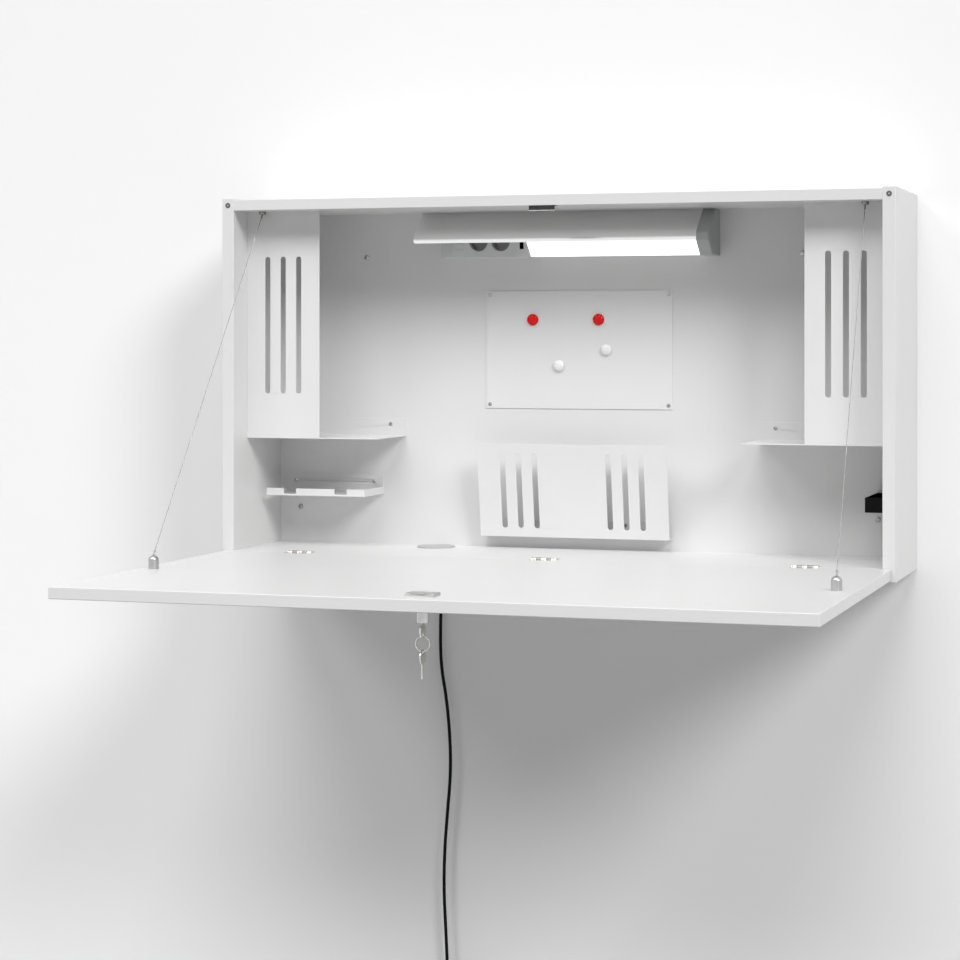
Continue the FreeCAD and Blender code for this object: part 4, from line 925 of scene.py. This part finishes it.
def strain_relief():
    """A ribbed, tapered relief below a hexagonal gland nut, with its neck through the panel."""
    low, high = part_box("lead_gland")
    x, y = LEAD_ROUTE[0][0] * MM, LEAD_ROUTE[0][1] * MM
    bm = bmesh.new()
    height = high.z - low.z
    profile = [(LEAD_RADIUS, 0), (4.2 * MM, 0)]
    ribs = 5
    pitch = 3.2 * MM
    for rib in range(ribs):
        start = rib * pitch
        swell = 4.3 * MM + rib * 0.42 * MM
        profile += [(swell, start + 0.2 * MM), (swell + 0.1 * MM, start + 2.1 * MM),
                    (swell - 0.5 * MM, start + 2.4 * MM), (swell - 0.5 * MM, start + 3.0 * MM)]
    profile += [(6.6 * MM, ribs * pitch + 0.4 * MM), (6.7 * MM, height - 1.2 * MM),
                (5.6 * MM, height), (0, height)]
    lathe(bm, profile, Matrix.Translation((x, y, low.z)), 32)
    neck = Matrix.Translation((x, y, (low.z + high.z) / 2)) @ FACE_OUT
    depth = y - PANEL_Y
    lathe(bm, [(0, 0), (4.9 * MM, 0), (4.9 * MM, depth), (0, depth)], neck, 24)
    nut_sides = 6
    lathe(bm, [(0, 5 * MM), (7.4 * MM, 5 * MM), (8 * MM, 5.6 * MM), (8 * MM, 9 * MM), (0, 9 * MM)],
          neck, nut_sides)
    return place_piece("lead_strain_relief", to_mesh(bm, "lead_strain_relief"), LEAD_BLACK,
                       "cabinet", "cord_black", "lead_gland")


def coil_tie():
    """A soft hook-and-loop strap round the turns of the coil."""
    low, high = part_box("coil_tie")
    middle = (low + high) / 2
    bm = bmesh.new()
    half = (high.z - low.z) / 2
    band = [(8.0 * MM, -half), (8.7 * MM, -half * 0.96), (9.0 * MM, -half * 0.8),
            (9.0 * MM, half * 0.8), (8.7 * MM, half * 0.96), (8.0 * MM, half), (8.0 * MM, -half)]
    lathe(bm, band, Matrix.Translation(middle), 40)
    return place_piece("coil_strap", to_mesh(bm, "coil_strap"), BLACK_PLASTIC, "cabinet",
                       "dark_plastic", "coil_tie")


def mains_plug():
    """A round two-pin plug with a ribbed grip and a flexible relief."""
    low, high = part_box("mains_plug")
    stand = Matrix.Translation(((low.x + high.x) / 2, (low.y + high.y) / 2, high.z))
    foot = -61 * MM
    bm = bmesh.new()
    profile = [(0, 0), (4.6 * MM, 0), (5.2 * MM, -0.8 * MM)]
    for rib in range(6):
        start = -1.5 * MM - rib * 3.6 * MM
        swell = 5.3 * MM + rib * 0.42 * MM
        profile += [(swell, start), (swell + 0.1 * MM, start - 2.2 * MM),
                    (swell - 0.7 * MM, start - 2.6 * MM), (swell - 0.7 * MM, start - 3.2 * MM)]
    profile += [(9.5 * MM, -25 * MM), (13.5 * MM, -29 * MM), (15.2 * MM, -34 * MM),
                (15.8 * MM, -40 * MM), (17.4 * MM, -44 * MM), (18.5 * MM, -47 * MM),
                (18.5 * MM, -60 * MM), (18.0 * MM, foot), (0, foot)]
    lathe(bm, profile, stand, 48)
    plug = place_piece("plug_body", to_mesh(bm, "plug_body"), LEAD_BLACK, "cabinet", "cord_black",
                       "mains_plug")
    bm = bmesh.new()
    for side in (-1, 1):
        pin = stand @ Matrix.Translation((side * 9.5 * MM, 0, foot))
        lathe(bm, [(0, 0), (2.4 * MM, 0), (2.4 * MM, -17 * MM), (1.9 * MM, -18.6 * MM),
                   (0, -19 * MM)], pin, 20)
    pins = place_piece("plug_pins", to_mesh(bm, "plug_pins"), NICKEL, "cabinet", "nickel")
    return [plug, pins]


def lamp_lead():
    """The black lead: down behind the cabinet, past its foot, into a tied coil, to its plug."""
    route = [Vector(point) * MM for point in LEAD_ROUTE]
    tail = [Vector(point) * MM for point in TAIL_ROUTE]
    curve = lead_curve(route + coil_points() + tail)
    curve.materials.append(LEAD_BLACK)
    lead = new_object("lamp_flex", curve)
    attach(lead, "cabinet")
    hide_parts("lamp_lead", "lead_coil", "lead_tail")
    pieces = [strain_relief(), coil_tie(), *mains_plug()]


# ---- keys ---------------------------------------------------------------------------------------

RING_WIRE, RING_DROP, RING_INSET = 0.95 * MM, 0.42 * MM, 0.9 * MM
RING_TURNS = 1.9


def key_ring():
    """The split ring that joins the two keys."""
    low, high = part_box("key_ring")
    middle = (low + high) / 2
    mesh = run_tree("ring", split_ring(), bpy.data.meshes.new("ring"), {
        "Radius": (high.x - low.x) / 2 - RING_INSET, "Wire": RING_WIRE, "Turns": RING_TURNS,
        "Metal": NICKEL})
    mesh.transform(Matrix.Translation(middle) @ FACE_OUT @ Matrix.Translation((0, 0, -RING_DROP)))
    mesh.shade_smooth()
    place_piece("split_key_ring", mesh, NICKEL, "ring", "zinc", "key_ring")


# ---- stage, light and camera --------------------------------------------------------------------

def stage_finish(name, tone, bounce):
    """A pale backdrop, clear from behind; bounce is the tone with which it lights the object."""
    material = bpy.data.materials.new(name)
    material.use_nodes = True
    tree = material.node_tree
    shader = tree.nodes["Principled BSDF"]
    shader.inputs["Roughness"].default_value = 0.9
    path = tree.nodes.new("ShaderNodeLightPath")
    pale = tree.nodes.new("ShaderNodeMix")
    pale.data_type = "RGBA"
    pale.inputs["A"].default_value = (tone, tone, tone, 1)
    pale.inputs["B"].default_value = (bounce, bounce, bounce, 1)
    tree.links.new(path.outputs["Is Diffuse Ray"], pale.inputs["Factor"])
    tree.links.new(pale.outputs["Result"], shader.inputs["Base Color"])
    clear = tree.nodes.new("ShaderNodeBsdfTransparent")
    behind = tree.nodes.new("ShaderNodeNewGeometry")
    mix = tree.nodes.new("ShaderNodeMixShader")
    tree.links.new(behind.outputs["Backfacing"], mix.inputs[0])
    tree.links.new(shader.outputs[0], mix.inputs[1])
    tree.links.new(clear.outputs[0], mix.inputs[2])
    tree.links.new(mix.outputs[0], tree.nodes["Material Output"].inputs["Surface"])
    return material


def stage_plane(name, corners, faces, finish):
    mesh = bpy.data.meshes.new(name)
    mesh.from_pydata(corners, [], faces)
    mesh.materials.append(finish)
    new_object(name, mesh)


STAGE_REACH = 9.0
STAGE_FLOOR = -1.62
STAGE_TOP = 5.0
WALL_Y = 0.8 * MM
OPENING_INSET = 6 * MM


def build_stage():
    """A wall with an opening hidden behind the cabinet, which lets its back be lit, and a floor."""
    reach = STAGE_REACH
    left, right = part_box("side_panel_left")[0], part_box("side_panel_right")[1]
    outer = [(-reach, WALL_Y, STAGE_FLOOR), (reach, WALL_Y, STAGE_FLOOR),
             (reach, WALL_Y, STAGE_TOP), (-reach, WALL_Y, STAGE_TOP)]
    west, east = left.x + OPENING_INSET, right.x - OPENING_INSET
    foot, head = left.z + OPENING_INSET, right.z - OPENING_INSET
    inner = [(west, WALL_Y, foot), (east, WALL_Y, foot), (east, WALL_Y, head), (west, WALL_Y, head)]
    around = [(side, (side + 1) % 4, 4 + (side + 1) % 4, 4 + side) for side in range(4)]
    stage_plane("wall", outer + inner, around, stage_finish("pale wall", tone=0.9, bounce=0.8))
    ground = [(-reach, -reach, STAGE_FLOOR), (reach, -reach, STAGE_FLOOR),
              (reach, reach, STAGE_FLOOR), (-reach, reach, STAGE_FLOOR)]
    stage_plane("floor", ground, [(0, 1, 2, 3)], stage_finish("pale floor", tone=0.82, bounce=0.3))


AMBIENT = 0.22
# Each distant light: the way it shines, its spread in degrees and its strength.
FAR_LIGHTS = {
    "high soft light": ((0, 1, -1.4), 40, 1.74),
    "left soft light": ((0.98, 1, -1.05), 20, 0.6),
    "right soft light": ((-1.22, 1, -1.0), 20, 1.6),
    "rear soft light": ((-0.35, -1, -0.32), 25, 1.7),
}


def far_light(name, way, spread, strength):
    """A distant light that shines the given way."""
    light = bpy.data.lights.new(name, "SUN")
    light.angle = math.radians(spread)
    light.energy = strength
    new_object(name, light).rotation_euler = Vector(way).to_track_quat("-Z", "Y").to_euler()


def build_light():
    """A white surround for the camera, glass and metal, a weaker one for shade, and soft lights."""
    world = bpy.data.worlds.new("studio")
    bpy.context.scene.world = world
    world.use_nodes = True
    tree = world.node_tree
    back = tree.nodes["Background"]
    back.inputs["Color"].default_value = (1, 1, 1, 1)
    path = tree.nodes.new("ShaderNodeLightPath")
    seen = reckon(tree, "MAXIMUM", path.outputs["Is Camera Ray"],
                  path.outputs["Is Transmission Ray"])
    bright = reckon(tree, "MAXIMUM", seen, path.outputs["Is Glossy Ray"])
    strength = tree.nodes.new("ShaderNodeMapRange")
    strength.inputs["To Min"].default_value = AMBIENT
    strength.inputs["To Max"].default_value = 1.0
    tree.links.new(bright, strength.inputs["Value"])
    tree.links.new(strength.outputs["Result"], back.inputs["Strength"])
    for name, settings in FAR_LIGHTS.items():
        far_light(name, *settings)


SENSOR_MM, LENS_MM = 36.0, 86.02
SHIFT_X, SHIFT_Y = -0.0965, -0.1476
CAMERA_PLACE = (1.1714, -3.967, -0.148)
CAMERA_TURN = 0.2921


def build_camera():
    """A long lens, level, a little to the right of the cabinet."""
    data = bpy.data.cameras.new("camera")
    data.sensor_width = SENSOR_MM
    data.lens = LENS_MM
    data.shift_x = SHIFT_X
    data.shift_y = SHIFT_Y
    camera = new_object("camera", data)
    camera.location = CAMERA_PLACE
    camera.rotation_euler = (math.radians(90), 0, CAMERA_TURN)
    bpy.context.scene.camera = camera


bpy.context.scene.view_settings.view_transform = "Standard"
build_camera()
dress_nodes()
lamp_lead()
bracket_screws()
hinge_screws()
stay_wire("left", -1)
stay_wire("right", 1)
key_ring()
soften_edges()
for colour, place in (("red", "left"), ("red", "right"), ("white", "upper"), ("white", "lower")):
    magnet_cap(colour, place)
lock_cover()
strike_hem()
charging_port()
buffer_centres()
build_stage()
build_light()
